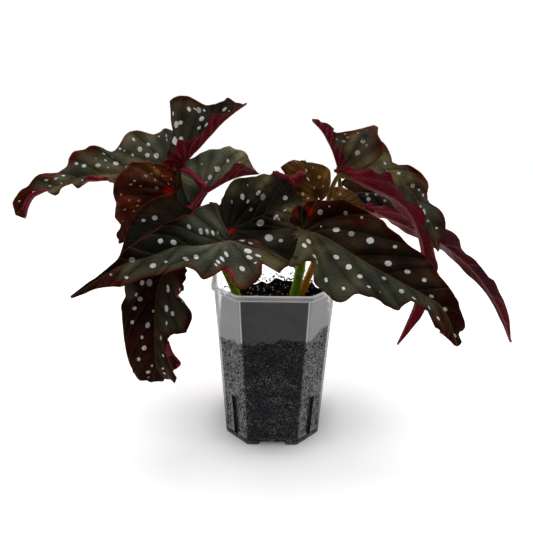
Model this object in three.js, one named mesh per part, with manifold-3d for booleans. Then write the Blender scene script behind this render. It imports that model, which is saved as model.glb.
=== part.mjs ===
// Potted polka dot begonia: a clear nursery pot, soil, three canes and their leaves.
// Millimetres, +Z up, the pot's foot on z = 0 and its middle at x = y = 0.
// The plant's front looks toward -Y and its right side toward +X.
import * as THREE from 'three';
import { mergeVertices } from 'three/addons/utils/BufferGeometryUtils.js';
import Module from 'manifold-3d';

const wasm = await Module();
wasm.setup();
const { Manifold, Mesh: SolidMesh } = wasm;

// Pot: half sizes across the flats, and half the width of the flat sides between the cut corners
const POT_HEIGHT = 131;
const POT_TOP = { half: 43.3, flat: 25.8 };
const POT_FOOT = { half: 36.4, flat: 19.0 };
const POT_WALL = 1.2;
const POT_FLOOR = 1.8;
const LIP = { reach: 1.9, height: 4.2 };
const SLOT = { width: 2.6, bottom: 9, top: 40 };
const NOTCH = { half: 9.5, height: 2.6, depth: 5 };

// Soil
const SOIL_GAP = 0.3;
const SOIL_TOP = 98;
const SOIL_RISE = 0.13;
const SOIL_GRID = 17;

// Leaves
const BLADE_THICKNESS = 0.7;
const BLADE_ROWS = 21;
const BLADE_COLUMNS = [0, 0.42, 0.76, 1];
const JOINT_GAP = 0.3;
const PETIOLE_RADIUS = [1.9, 1.1];
const PETIOLE_SINK = 1.0;
const TIP_WIDTH = 1.3;
const RIB_DEPTH = 1.2;

const MATERIALS = {
  pot: new THREE.MeshStandardMaterial({ color: 0xb9bcbb, roughness: 0.35 }),
  soil: new THREE.MeshStandardMaterial({ color: 0x1d1713, roughness: 0.95 }),
  cane: new THREE.MeshStandardMaterial({ color: 0x5d7424, roughness: 0.5 }),
  ripe_cane: new THREE.MeshStandardMaterial({ color: 0x9a7a1e, roughness: 0.5 }),
  leaf: new THREE.MeshStandardMaterial({ color: 0x333c2a, roughness: 0.45 }),
  wine_leaf: new THREE.MeshStandardMaterial({ color: 0x5c0f26, roughness: 0.5 }),
  young_leaf: new THREE.MeshStandardMaterial({ color: 0x6a451c, roughness: 0.35 }),
};

const vec = (p) => new THREE.Vector3(p[0], p[1], p[2]);

// A smooth curve through points
function spline(points) {
  return new THREE.CatmullRomCurve3(points.map(vec), false, 'centripetal');
}

// Smooth value at position u of a list of evenly spaced values
function smoothValue(list, u) {
  const x = Math.min(Math.max(u, 0), list.length - 1);
  const i = Math.min(Math.floor(x), list.length - 2);
  const f = x - i;
  const at = (k) => list[Math.min(Math.max(k, 0), list.length - 1)];
  const [a, b, c, d] = [at(i - 1), at(i), at(i + 1), at(i + 2)];
  return b + 0.5 * f * (c - a + f * (2 * a - 5 * b + 4 * c - d + f * (3 * (b - c) + d - a)));
}

function toSolid(positions, triangles) {
  return new Manifold(new SolidMesh({
    numProp: 3,
    vertProperties: new Float32Array(positions),
    triVerts: new Uint32Array(triangles),
  }));
}

function toNode(name, solid, material) {
  const mesh = solid.getMesh();
  const geometry = new THREE.BufferGeometry();
  const points = new Float32Array(mesh.numVert * 3);
  for (let i = 0; i < mesh.numVert; i += 1) {
    for (let k = 0; k < 3; k += 1) points[3 * i + k] = mesh.vertProperties[mesh.numProp * i + k];
  }
  geometry.setAttribute('position', new THREE.BufferAttribute(points, 3));
  geometry.setIndex(new THREE.BufferAttribute(new Uint32Array(mesh.triVerts), 1));
  geometry.computeVertexNormals();
  const node = new THREE.Mesh(geometry, material);
  node.name = name;
  return node;
}

// Closed solid of stacked rings, each a list of points with the same count
function loft(rings) {
  const count = rings[0].length;
  const positions = [];
  const triangles = [];
  rings.forEach((ring) => ring.forEach((p) => positions.push(p.x, p.y, p.z)));
  for (let r = 0; r + 1 < rings.length; r += 1) {
    for (let i = 0; i < count; i += 1) {
      const a = r * count + i;
      const b = r * count + ((i + 1) % count);
      triangles.push(a, b, b + count, a, b + count, a + count);
    }
  }
  const last = (rings.length - 1) * count;
  for (let i = 1; i + 1 < count; i += 1) {
    triangles.push(0, i + 1, i);
    triangles.push(last, last + i, last + i + 1);
  }
  return toSolid(positions, triangles);
}

// Round tube along a curve; each ring is a position along the curve and a radius
function tube(curve, rings, sides) {
  const sections = [];
  let across = new THREE.Vector3(1, 0.13, 0.07);
  rings.forEach(([t, radius]) => {
    const centre = curve.getPointAt(t);
    const along = curve.getTangentAt(t).normalize();
    across = across.clone().addScaledVector(along, -across.dot(along)).normalize();
    const other = new THREE.Vector3().crossVectors(along, across);
    const section = [];
    for (let i = 0; i < sides; i += 1) {
      const turn = (2 * Math.PI * i) / sides;
      section.push(centre.clone()
        .addScaledVector(across, radius * Math.cos(turn))
        .addScaledVector(other, radius * Math.sin(turn)));
    }
    sections.push(section);
  });
  return loft(sections);
}

// Square with cut corners, at height z
function potRing(half, flat, z) {
  const corners = [
    [flat, -half], [half, -flat], [half, flat], [flat, half],
    [-flat, half], [-half, flat], [-half, -flat], [-flat, -half],
  ];
  return corners.map(([x, y]) => new THREE.Vector3(x, y, z));
}

function potSize(z) {
  const share = z / POT_HEIGHT;
  return {
    half: POT_FOOT.half + share * (POT_TOP.half - POT_FOOT.half),
    flat: POT_FOOT.flat + share * (POT_TOP.flat - POT_FOOT.flat),
  };
}

// Pot section at height z, moved in by an inset square to each side
function potSection(z, inset) {
  const size = potSize(z);
  return potRing(size.half - inset, size.flat - inset * Math.tan(Math.PI / 8), z);
}

// Block turned about its upright axis
function box(size, centre, turn) {
  const shape = new THREE.BoxGeometry(...size).rotateZ(THREE.MathUtils.degToRad(turn));
  shape.translate(...centre);
  shape.deleteAttribute('normal');
  shape.deleteAttribute('uv');
  const merged = mergeVertices(shape);
  return toSolid(merged.attributes.position.array, merged.index.array);
}

function makePot() {
  const shell = loft([potSection(0, 0), potSection(POT_HEIGHT, 0)]);
  const lipFoot = POT_HEIGHT - LIP.height;
  const lip = loft([
    potSection(lipFoot, 0), potSection(lipFoot + 0.6, -LIP.reach),
    potSection(POT_HEIGHT - 0.8, -LIP.reach), potSection(POT_HEIGHT, -LIP.reach + 0.9),
  ]);
  const room = loft([potSection(POT_FLOOR, POT_WALL), potSection(POT_HEIGHT + 1, POT_WALL)]);
  const cuts = [room];
  const slotHeight = SLOT.top - SLOT.bottom;
  for (let i = 0; i < 4; i += 1) {
    const turn = 45 + 90 * i;
    const size = potSize((SLOT.top + SLOT.bottom) / 2);
    const reach = (size.half + size.flat) / Math.SQRT2;
    const out = [Math.cos((turn * Math.PI) / 180), Math.sin((turn * Math.PI) / 180)];
    cuts.push(box(
      [8, SLOT.width, slotHeight],
      [out[0] * reach, out[1] * reach, SLOT.bottom + slotHeight / 2],
      turn,
    ));
    const inner = POT_FOOT.half - NOTCH.depth;
    const notch = [[-1.25, -1], [1.25, -1], [0.9, NOTCH.height], [-0.9, NOTCH.height]]
      .map(([w, z]) => [w * NOTCH.half, z]);
    const near = notch.map(([w, z]) => new THREE.Vector3(inner, w, Math.min(z, POT_FLOOR - 0.8)));
    const far = notch.map(([w, z]) => new THREE.Vector3(POT_FOOT.half + 3, w, z));
    cuts.push(loft([near, far]).rotate([0, 0, 90 * i]));
  }
  return shell.add(lip).subtract(Manifold.union(cuts));
}

// Height of the crumbly soil top
function soilHeight(x, y) {
  return SOIL_TOP + SOIL_RISE * y
    + 1.3 * Math.sin(0.21 * x + 0.6) * Math.cos(0.19 * y - 0.4)
    + 0.8 * Math.sin(0.53 * x - 0.31 * y) + 0.5 * Math.cos(0.71 * y + 0.37 * x + 1.0);
}

function makeSoil(canes) {
  const body = loft([
    potSection(POT_FLOOR + SOIL_GAP, POT_WALL + SOIL_GAP),
    potSection(SOIL_TOP + 12, POT_WALL + SOIL_GAP),
  ]);
  const reach = POT_TOP.half + 4;
  const step = (2 * reach) / SOIL_GRID;
  const positions = [];
  const triangles = [];
  const row = SOIL_GRID + 1;
  for (const top of [true, false]) {
    for (let j = 0; j < row; j += 1) {
      for (let i = 0; i < row; i += 1) {
        const x = -reach + i * step;
        const y = -reach + j * step;
        positions.push(x, y, top ? soilHeight(x, y) : -5);
      }
    }
  }
  const under = row * row;
  for (let j = 0; j < SOIL_GRID; j += 1) {
    for (let i = 0; i < SOIL_GRID; i += 1) {
      const a = j * row + i;
      const [b, c, d] = [a + 1, a + row, a + row + 1];
      triangles.push(a, b, d, a, d, c);
      triangles.push(under + a, under + d, under + b, under + a, under + c, under + d);
    }
  }
  for (let i = 0; i < SOIL_GRID; i += 1) {
    const edges = [
      [i + 1, i], [i * row, (i + 1) * row],
      [(i + 1) * row + SOIL_GRID, i * row + SOIL_GRID],
      [SOIL_GRID * row + i, SOIL_GRID * row + i + 1],
    ];
    edges.forEach(([a, b]) => triangles.push(a, b, under + b, a, under + b, under + a));
  }
  let soil = body.intersect(toSolid(positions, triangles));
  canes.forEach((cane) => { soil = soil.subtract(caneHole(cane)); });
  return soil;
}

// Canes: the way up from the soil, the radius at the foot and at the top, and the joints along it
const CANE_SIDES = 8;
const JOINT_SWELL = 0.45;
const CANES = {
  cane_left: {
    path: [[-22, 0, 84], [-25, -1, 102], [-34.5, -3, 128], [-49, -3, 160], [-60, 3, 196]],
    radius: [3.1, 2.0], material: 'cane',
  },
  cane_middle: {
    path: [[13, 4, 84], [15, 5, 102], [20, 4, 134], [23, 3, 160], [25, 5, 184]],
    radius: [4.4, 2.3], material: 'cane',
  },
  cane_right: {
    path: [[17, 21, 84], [22, 21, 102], [31, 19, 130], [37, 17, 158], [40, 15, 184]],
    radius: [3.2, 2.0], material: 'ripe_cane',
  },
};

// Plain radius of a cane, and its radius where a petiole joins it
function caneRadius(cane, t) {
  return cane.radius[0] + (cane.radius[1] - cane.radius[0]) * t;
}

function jointRadius(cane, t) {
  return caneRadius(cane, t) + JOINT_SWELL;
}

function jointsOf(name) {
  return Object.values(LEAVES).map((leaf) => leaf.petiole)
    .filter(([cane, share]) => cane === name && share < 1)
    .map(([, share]) => share).sort((a, b) => a - b);
}

function makeCane(name) {
  const cane = CANES[name];
  const joints = jointsOf(name);
  const rings = [0, 0.1, 0.2, 0.3, joints[0] - 0.04].map((t) => [t, caneRadius(cane, t)]);
  joints.forEach((t, i) => {
    rings.push([t, jointRadius(cane, t)]);
    const after = i + 1 < joints.length ? (t + joints[i + 1]) / 2 : t + (1 - t) / 2;
    rings.push([after, caneRadius(cane, after)]);
  });
  rings.push([1, caneRadius(cane, 1)]);
  return tube(spline(cane.path), rings, CANE_SIDES);
}

// The hole that a cane's foot stands in
function caneHole(cane) {
  const curve = spline(cane.path);
  const foot = curve.getPointAt(0);
  foot.z -= JOINT_GAP;
  const points = [foot, ...[0.04, 0.1, 0.16, 0.22, 0.28].map((t) => curve.getPointAt(t))];
  const wide = cane.radius[0] + JOINT_GAP + 0.2;
  const rings = points.map((p, i) => [i / (points.length - 1), wide]);
  return tube(spline(points.map((p) => p.toArray())), rings, 16);
}

// Ray stations: where a side vein leaves the midrib, and its angle from the way to the tip
const STATION_ALONG = [0, 0.008, 0.018, 0.03, 0.05, 0.09, 0.17, 0.28, 0.42, 0.58, 0.75, 0.9, 1];
const STATION_ANGLE = [165, 148, 132, 116, 100, 86, 74, 64, 56, 50, 45, 40, 40];

const LEAVES = {
  leaf_front_right: {
    mid: [[17, -42, 179], [31, -47, 176], [60, -60, 162], [92, -67, 146], [107, -70, 137],
      [120, -72, 110]],
    left: [[0.15, 0.35, 0.93], [0.9, 0.3, 0.35]],
    right: [[-0.1, -0.75, -0.65], [-0.9, -0.3, -0.3]],
    wideLeft: [9, 13, 17, 19, 23, 26, 29, 30, 28, 23, 16, 9],
    wideRight: [5, 7, 10, 17, 31, 24, 34, 30, 24, 21, 20, 9],
    wave: [2, 5, 0.4],
    petiole: ['cane_middle', 0.62, [25, -16, 156], [22, -34, 169]],
    rows: 34,
    material: 'leaf',
  },
  leaf_front_left: {
    mid: [[-31, -45, 172], [-49, -50, 170], [-64, -52, 170], [-81, -55, 164], [-97, -58, 160],
      [-133, -62, 138]],
    left: [[0.1, -0.8, -0.6], [0.5, -0.5, -0.7]],
    right: [[0.1, 0.5, 0.85], [-0.3, 0.4, 0.85]],
    wideLeft: [24, 40, 43, 34, 39, 23, 20, 22, 18, 17, 12, 6],
    wideRight: [5, 6, 8, 14, 23, 27, 24, 19, 16, 11, 7, 3],
    wave: [1.4, 5, 1.1],
    petiole: ['cane_left', 0.54, [-38, -22, 151], [-34, -36, 163]],
    rows: 34,
    material: 'leaf',
  },
  leaf_centre: {
    mid: [[-32, -30, 173], [-18, -30, 180], [-3, -26, 186], [10, -16, 188], [18, -6, 185]],
    left: [[-0.1, 0.3, 0.95], [0.2, 0.6, 0.8]],
    right: [[0.05, -0.25, -0.97], [0.2, -0.2, -0.95]],
    wideLeft: [4, 5, 7, 11, 18, 25, 32, 32, 28, 24, 15, 7],
    wideRight: [6, 7, 8, 11, 20, 28, 33, 33, 29, 23, 14, 7],
    wave: [1.6, 4, 2],
    petiole: ['cane_left', 0.66, [-38, -18, 163]],
    material: 'leaf',
  },
  leaf_upper_centre: {
    mid: [[-50, -12, 193], [-40, -12, 199], [-31, -12, 204], [-22, -12, 207], [-12, -12, 208]],
    left: [[-0.4, 0.5, 0.77], [0.2, 0.6, 0.8]],
    right: [[0.1, -0.6, 0.8], [0.1, -0.6, 0.8]],
    wideLeft: [5, 7, 11, 18, 26, 28, 28, 26, 26, 20, 12, 5],
    wideRight: [3, 4, 5, 6, 6, 7, 8, 9, 11, 13, 10, 5],
    wave: [1.4, 4, 0.5],
    petiole: ['cane_left', 0.79, [-55, -12, 181]],
    material: 'leaf',
  },
  leaf_top_left: {
    mid: [[-65, 5, 211], [-55, 6, 220], [-39, 9, 237], [-29, 12, 245], [-21, 16, 250]],
    left: [[-0.6, 0.5, 0.6], [-0.5, 0.5, 0.7]],
    right: [[-0.45, -0.65, 0.6], [-0.3, -0.65, 0.6]],
    wideLeft: [8, 10, 13, 17, 22, 30, 41, 38, 27, 19, 13, 6],
    wideRight: [7, 10, 14, 16, 16, 17, 15, 12, 10, 9, 6, 3],
    wave: [1.8, 4, 1],
    petiole: ['cane_left', 1],
    material: 'leaf',
  },
  leaf_far_left: {
    mid: [[-77, 19, 203], [-114, 23, 198], [-132, 25, 196], [-144, 25, 194], [-158, 24, 189],
      [-179, 21, 181], [-187, 17, 165]],
    left: [[0, -0.6, -0.8], [0, -0.6, -0.8]],
    right: [[0, 0.45, 0.9], [-0.5, 0.3, 0.6]],
    wideLeft: [8, 10, 12, 13, 13, 13, 12, 10, 8, 7, 6, 6],
    wideRight: [10, 14, 20, 27, 30, 29, 29, 22, 23, 15, 12, 13],
    wave: [2.4, 6, 0],
    petiole: ['cane_left', 0.93, [-68, 13, 196]],
    material: 'leaf',
  },
  leaf_young_left: {
    mid: [[-69, -8, 194], [-86, -10, 188], [-101, -12, 177], [-111, -12, 157]],
    left: [[0.1, -0.1, -0.95], [0.3, -0.2, -0.9]],
    right: [[-0.2, 0.2, 0.95], [-0.8, 0.2, 0.4]],
    wideLeft: [5, 6, 7, 9, 12, 14, 17, 18, 18, 16, 11, 5],
    wideRight: [5, 6, 8, 12, 17, 23, 28, 28, 23, 15, 8, 4],
    wave: [1.5, 4, 3],
    petiole: ['cane_left', 0.87],
    material: 'young_leaf',
  },
  leaf_behind_left: {
    mid: [[-60, -22, 180], [-75, -22, 174], [-91, -22, 166], [-112, -24, 144]],
    left: [[0.1, -0.5, -0.8], [0.3, -0.5, -0.8]],
    right: [[-0.2, 0.05, 0.98], [-0.6, 0.1, 0.6]],
    wideLeft: [6, 7, 9, 10, 11, 12, 13, 14, 15, 14, 9, 4],
    wideRight: [5, 6, 8, 10, 13, 19, 22, 22, 17, 13, 8, 4],
    wave: [1.4, 4, 0.3],
    petiole: ['cane_left', 0.72, [-54, -14, 171]],
    material: 'leaf',
  },
  leaf_hanging: {
    mid: [[-72, -28, 148], [-79, -30, 138], [-83, -32, 124], [-85, -34, 103], [-86, -34, 82],
      [-86, -33, 67], [-81, -31, 56]],
    left: [[0.9, -0.3, 0.1], [0.9, -0.3, 0.1]],
    right: [[-0.9, -0.2, 0.1], [-0.9, -0.2, 0.1]],
    wideLeft: [6, 8, 12, 18, 20, 24, 26, 30, 20, 16, 24, 13],
    wideRight: [5, 7, 9, 12, 15, 19, 25, 26, 26, 25, 22, 11],
    wave: [2, 5, 0.8],
    petiole: ['cane_left', 0.49, [-52, -15, 147], [-64, -24, 150]],
    material: 'leaf',
  },
  leaf_young_centre: {
    mid: [[30, -2, 189], [26, 0, 199], [22, 3, 208], [20, 5, 213]],
    left: [[-0.9, -0.2, -0.3], [-0.9, -0.2, -0.3]],
    right: [[0.88, 0.1, 0.27], [0.88, 0.1, 0.27]],
    wideLeft: [3, 4, 5, 7, 10, 14, 14, 17, 21, 18, 11, 4],
    wideRight: [3, 4, 5, 6, 8, 10, 13, 16, 14, 10, 6, 2],
    wave: [1.2, 4, 0],
    petiole: ['cane_middle', 1],
    material: 'young_leaf',
  },
  leaf_small: {
    mid: [[40, -8, 184], [48, -12, 188], [57, -14, 187], [64, -16, 183]],
    left: [[0, 0.3, 0.9], [0.3, 0.3, 0.8]],
    right: [[0, -0.6, -0.7], [0, -0.6, -0.7]],
    wideLeft: [4, 5, 6, 8, 10, 12, 12, 11, 9, 6, 4, 2],
    wideRight: [4, 4, 5, 6, 7, 9, 12, 13, 12, 10, 6, 2],
    wave: [1, 3, 0],
    petiole: ['cane_middle', 0.84, [34, -3, 177]],
    material: 'young_leaf',
  },
  leaf_long_right: {
    mid: [[44, 8, 205], [69, 5, 194], [85, 3, 187], [95, 0, 179], [105, -3, 161], [110, -6, 137],
      [107, -8, 111], [95, -10, 75]],
    left: [[0, 0.8, -0.55], [-0.8, 0.4, -0.2]],
    right: [[0.1, -0.5, 0.85], [0.8, -0.5, 0.2]],
    wideLeft: [3, 4, 5, 6, 8, 7, 8, 10, 8, 7, 5, 3],
    wideRight: [3, 4, 6, 8, 10, 14, 17, 12, 11, 13, 12, 5],
    wave: [1.8, 6, 0.6],
    petiole: ['cane_right', 1],
    material: 'wine_leaf',
  },
  leaf_far_right: {
    mid: [[67, 30, 172], [96, 31, 159], [124, 23, 148], [144, 13, 135], [158, 4, 121],
      [172, -3, 100], [182, -8, 77]],
    left: [[0, 0.8, -0.55], [-0.8, 0.4, -0.2]],
    right: [[0.1, -0.5, 0.85], [0.8, -0.5, 0.2]],
    wideLeft: [4, 5, 7, 9, 11, 12, 13, 14, 13, 9, 6, 3],
    wideRight: [5, 5, 6, 7, 11, 15, 18, 16, 14, 10, 10, 6],
    wave: [1.6, 6, 2],
    petiole: ['cane_right', 0.8, [54, 24, 170]],
    material: 'wine_leaf',
  },
  leaf_back_right: {
    mid: [[54, 24, 197], [72, 24, 205], [89, 20, 198], [101, 14, 186], [115, 10, 166], [122, 6, 146]],
    left: [[0.1, 0.5, 0.85], [0.8, 0.4, 0.3]],
    right: [[0, -0.2, -0.98], [-0.5, -0.3, -0.6]],
    wideLeft: [6, 8, 10, 14, 20, 27, 26, 15, 13, 12, 12, 7],
    wideRight: [6, 8, 10, 12, 14, 15, 15, 14, 13, 12, 10, 5],
    wave: [2, 5, 1],
    petiole: ['cane_right', 0.88, [46, 26, 184]],
    material: 'leaf',
  },
  leaf_top_right: {
    mid: [[46, 17, 203], [43, 16, 211], [40, 15, 219], [36, 14, 227], [32, 13, 233], [25, 11, 240]],
    left: [[0.75, -0.55, 0.3], [0.75, -0.55, 0.3]],
    right: [[0.9, 0.08, 0.4], [0.75, 0.3, 0.5]],
    wideLeft: [4, 4, 5, 5, 6, 7, 9, 11, 9, 10, 9, 5],
    wideRight: [6, 8, 12, 18, 26, 32, 36, 29, 19, 12, 8, 4],
    wave: [1.4, 4, 1.5],
    petiole: ['cane_right', 0.955, [47, 13, 191]],
    material: 'leaf',
  },
  leaf_rear_right: {
    mid: [[62, 45, 178], [78, 50, 176], [94, 52, 166], [108, 54, 148]],
    left: [[0.1, 0.5, 0.85], [0.5, 0.4, 0.6]],
    right: [[0, -0.6, -0.7], [-0.3, -0.5, -0.6]],
    wideLeft: [6, 7, 8, 9, 11, 13, 14, 14, 12, 8, 5, 2],
    wideRight: [6, 7, 8, 9, 10, 12, 14, 14, 12, 8, 5, 2],
    wave: [1.2, 4, 0],
    petiole: ['cane_right', 0.72, [48, 32, 168]],
    material: 'leaf',
  },
  leaf_rear_left: {
    mid: [[-56, 24, 148], [-64, 52, 154], [-74, 84, 144], [-82, 114, 112]],
    left: [[-0.9, -0.2, 0.4], [-0.9, -0.2, 0.3]],
    right: [[0.9, 0.3, 0.4], [0.9, 0.3, 0.3]],
    wideLeft: [12, 15, 19, 23, 26, 28, 29, 28, 24, 18, 12, 6],
    wideRight: [8, 10, 13, 16, 20, 22, 23, 22, 19, 14, 9, 4],
    wave: [1.8, 5, 0],
    petiole: ['cane_left', 0.6, [-50, 12, 154]],
    material: 'leaf',
  },
  leaf_rear_centre: {
    mid: [[4, 30, 160], [0, 60, 166], [-5, 94, 152], [-8, 124, 120]],
    left: [[-0.9, 0, 0.4], [-0.9, 0, 0.3]],
    right: [[0.9, 0, 0.4], [0.9, 0, 0.3]],
    wideLeft: [8, 10, 13, 16, 20, 23, 24, 23, 20, 15, 10, 5],
    wideRight: [12, 15, 19, 23, 26, 28, 29, 28, 24, 18, 12, 6],
    wave: [1.8, 5, 1],
    petiole: ['cane_middle', 0.46, [14, 18, 146]],
    material: 'leaf',
  },
  leaf_rear_low: {
    mid: [[50, 42, 146], [64, 70, 152], [78, 98, 138], [88, 120, 108]],
    left: [[-0.7, 0.4, 0.5], [-0.7, 0.4, 0.4]],
    right: [[0.8, -0.4, 0.4], [0.8, -0.4, 0.3]],
    wideLeft: [10, 13, 16, 19, 22, 24, 24, 22, 18, 13, 9, 4],
    wideRight: [7, 9, 12, 15, 18, 20, 20, 19, 16, 12, 8, 4],
    wave: [1.8, 5, 2],
    petiole: ['cane_right', 0.56, [40, 32, 146]],
    material: 'leaf',
  },
};

// Surface of a blade: s runs from the lobes at the petiole (0) to the tip (1), v from margin to margin
function bladePoint(leaf, curve, s, v) {
  const u = s * (STATION_ALONG.length - 1);
  const along = Math.min(Math.max(smoothValue(STATION_ALONG, u), 0), 1);
  const angle = (smoothValue(STATION_ANGLE, u) * Math.PI) / 180;
  const centre = curve.getPointAt(along);
  const way = curve.getTangentAt(along).normalize();
  const [base, tip] = v < 0 ? leaf.left : leaf.right;
  const side = vec(base).lerp(vec(tip), along);
  side.addScaledVector(way, -side.dot(way)).normalize();
  const normal = new THREE.Vector3().crossVectors(side, way).multiplyScalar(v < 0 ? -1 : 1);
  const widths = (v < 0 ? leaf.wideLeft : leaf.wideRight).concat([TIP_WIDTH]);
  const width = Math.max(smoothValue(widths, u), 0.6);
  const out = Math.abs(v);
  const [size, count, phase] = leaf.wave;
  const ripple = Math.sin(2 * Math.PI * count * s + phase + (v < 0 ? 0 : 2.1));
  const calm = Math.min(1, width / 14) * Math.min(1, 6 * (1 - s));
  return centre.clone()
    .addScaledVector(way, out * width * Math.cos(angle))
    .addScaledVector(side, out * width * Math.sin(angle))
    .addScaledVector(normal, size * calm * ripple * out ** 2.5 + 0.09 * width * out * (1 - out));
}

// The way that the top of the blade faces at the midrib
function topOf(leaf, curve, t) {
  const way = curve.getTangentAt(t).normalize();
  const right = vec(leaf.right[0]).normalize().lerp(vec(leaf.right[1]).normalize(), t);
  const left = vec(leaf.left[0]).normalize().lerp(vec(leaf.left[1]).normalize(), t);
  return right.sub(left).cross(way).normalize();
}

function makeBlade(leaf) {
  const curve = spline(leaf.mid);
  const across = [...BLADE_COLUMNS.slice(1).reverse().map((v) => -v), ...BLADE_COLUMNS];
  const columns = across.length;
  const middle = BLADE_COLUMNS.length - 1;
  const points = [];
  const rows = leaf.rows || BLADE_ROWS;
  for (let r = 0; r < rows; r += 1) {
    across.forEach((v) => points.push(bladePoint(leaf, curve, r / (rows - 1), v)));
  }
  const faces = [];
  for (let r = 0; r + 1 < rows; r += 1) {
    for (let c = 0; c + 1 < columns; c += 1) {
      const a = r * columns + c;
      const [b, d, e] = [a + 1, a + columns, a + columns + 1];
      if (c < middle) faces.push([a, b, d], [b, e, d]);
      else faces.push([a, b, e], [a, e, d]);
    }
  }
  const normals = points.map(() => new THREE.Vector3());
  faces.forEach(([a, b, c]) => {
    const n = new THREE.Vector3().crossVectors(
      points[b].clone().sub(points[a]), points[c].clone().sub(points[a]));
    n.normalize();
    [a, b, c].forEach((i) => normals[i].add(n));
  });
  normals.forEach((n) => n.normalize());
  const positions = [];
  const half = BLADE_THICKNESS / 2;
  points.forEach((p, i) => positions.push(...p.clone().addScaledVector(normals[i], half).toArray()));
  points.forEach((p, i) => {
    const rib = i % columns === middle ? RIB_DEPTH * (1 - Math.floor(i / columns) / (rows - 1)) : 0;
    positions.push(...p.clone().addScaledVector(normals[i], -half - rib).toArray());
  });
  const under = points.length;
  const triangles = [];
  faces.forEach(([a, b, c]) => triangles.push(a, b, c, under + a, under + c, under + b));
  const edge = [];
  for (let c = 0; c < columns; c += 1) edge.push(c);
  for (let r = 1; r < rows; r += 1) edge.push(r * columns + columns - 1);
  for (let c = columns - 2; c >= 0; c -= 1) edge.push((rows - 1) * columns + c);
  for (let r = rows - 2; r > 0; r -= 1) edge.push(r * columns);
  edge.forEach((a, i) => {
    const b = edge[(i + 1) % edge.length];
    triangles.push(b, a, under + a, b, under + a, under + b);
  });
  return toSolid(positions, triangles);
}

// Petiole from its cane to the blade; its end is sunk in the midrib
function makePetiole(leaf) {
  const [name, share, ...via] = leaf.petiole;
  const cane = CANES[name];
  const line = spline(cane.path);
  const joint = line.getPointAt(share);
  const up = line.getTangentAt(share).normalize();
  let out = up;
  let reach = JOINT_GAP;
  if (share < 1) {
    out = vec(via.length ? via[0] : leaf.mid[0]).sub(joint);
    out.addScaledVector(up, -out.dot(up)).normalize();
    reach += jointRadius(cane, share);
  }
  const foot = joint.clone().addScaledVector(out, reach);
  const curve = spline(leaf.mid);
  const sunk = [0.012, 0.06].map((t) => curve.getPointAt(t)
    .addScaledVector(topOf(leaf, curve, t), -PETIOLE_SINK).toArray());
  const points = [foot.toArray(), foot.clone().addScaledVector(out, 3).toArray(), ...via, ...sunk];
  const rings = [0, 0.12, 0.28, 0.44, 0.6, 0.74, 0.86, 0.94, 1]
    .map((t) => [t, PETIOLE_RADIUS[0] + (PETIOLE_RADIUS[1] - PETIOLE_RADIUS[0]) * t ** 1.5]);
  return tube(spline(points), rings, 6);
}

function makeLeaf(leaf) {
  return makeBlade(leaf).add(makePetiole(leaf));
}

const group = new THREE.Group();
group.name = 'potted_polka_dot_begonia';
group.add(toNode('pot', makePot(), MATERIALS.pot));
group.add(toNode('soil', makeSoil(Object.values(CANES)), MATERIALS.soil));
Object.entries(CANES).forEach(([name, cane]) => {
  group.add(toNode(name, makeCane(name), MATERIALS[cane.material]));
});
Object.entries(LEAVES).forEach(([name, leaf]) => {
  group.add(toNode(name, makeLeaf(leaf), MATERIALS[leaf.material]));
});

export default group;
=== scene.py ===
"""Potted polka dot begonia: fine leaves, canes, soil and a milky pot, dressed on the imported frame.

Shapes are worked out in millimetres and written to the meshes in metres. The plant's front looks toward -Y.
"""
import logging
import math
from dataclasses import dataclass
from enum import Enum
from typing import Any, Sequence

import bmesh
import bpy
import numpy as np
from mathutils import Matrix, Vector


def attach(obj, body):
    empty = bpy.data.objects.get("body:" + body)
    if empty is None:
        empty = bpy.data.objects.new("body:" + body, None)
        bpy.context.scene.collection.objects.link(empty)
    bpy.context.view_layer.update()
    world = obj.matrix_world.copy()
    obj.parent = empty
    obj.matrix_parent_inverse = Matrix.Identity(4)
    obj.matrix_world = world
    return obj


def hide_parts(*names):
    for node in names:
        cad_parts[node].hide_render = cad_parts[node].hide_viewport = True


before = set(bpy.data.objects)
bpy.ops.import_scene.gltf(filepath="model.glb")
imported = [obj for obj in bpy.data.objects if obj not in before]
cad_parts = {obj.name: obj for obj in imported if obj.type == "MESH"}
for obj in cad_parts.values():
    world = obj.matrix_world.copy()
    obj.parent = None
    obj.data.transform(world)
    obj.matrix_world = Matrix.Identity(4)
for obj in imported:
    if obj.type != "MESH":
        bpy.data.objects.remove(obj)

log = logging.getLogger("begonia")

MM = 0.001
EIGHTH = math.pi / 4
Colour = tuple[float, float, float]
Array = np.ndarray
Material = bpy.types.Material
Finishes = dict[str, Material]

# Camera, as worked out from the pot's edges in the photograph
PHOTO_SIDE = 533.0
PHOTO_FOCUS = 653.0
SENSOR = 36.0
CAMERA_AIM = np.array([-5.8, 0.0, 134.3])
CAMERA_REACH = 485.0
CAMERA_DROP = 23.25
CAMERA_ROLL = 0.56

# Blades: where each ray leaves the midrib, and its angle from the way to the tip
STATION_ALONG = (0, 0.008, 0.018, 0.03, 0.05, 0.09, 0.17, 0.28, 0.42, 0.58, 0.75, 0.9, 1)
STATION_ANGLE = (165, 148, 132, 116, 100, 86, 74, 64, 56, 50, 45, 40, 40)
TIP_WIDTH = 1.3
BLADE_HALF = 0.28
RIB_DEPTH = 1.2
PETIOLE_RADIUS = (1.9, 1.1)
CELL = 1.15


def paint(red: float, green: float, blue: float) -> Colour:
    """A screen colour as linear light.

    Args:
        red: Its red, from 0 to 255.
        green: Its green, from 0 to 255.
        blue: Its blue, from 0 to 255.

    Returns:
        The three shares of light, from 0 to 1.
    """
    steps = np.array([red, green, blue]) / 255
    light = np.where(steps <= 0.04045, steps / 12.92, ((steps + 0.055) / 1.055) ** 2.4)
    return tuple(float(value) for value in light)


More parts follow.
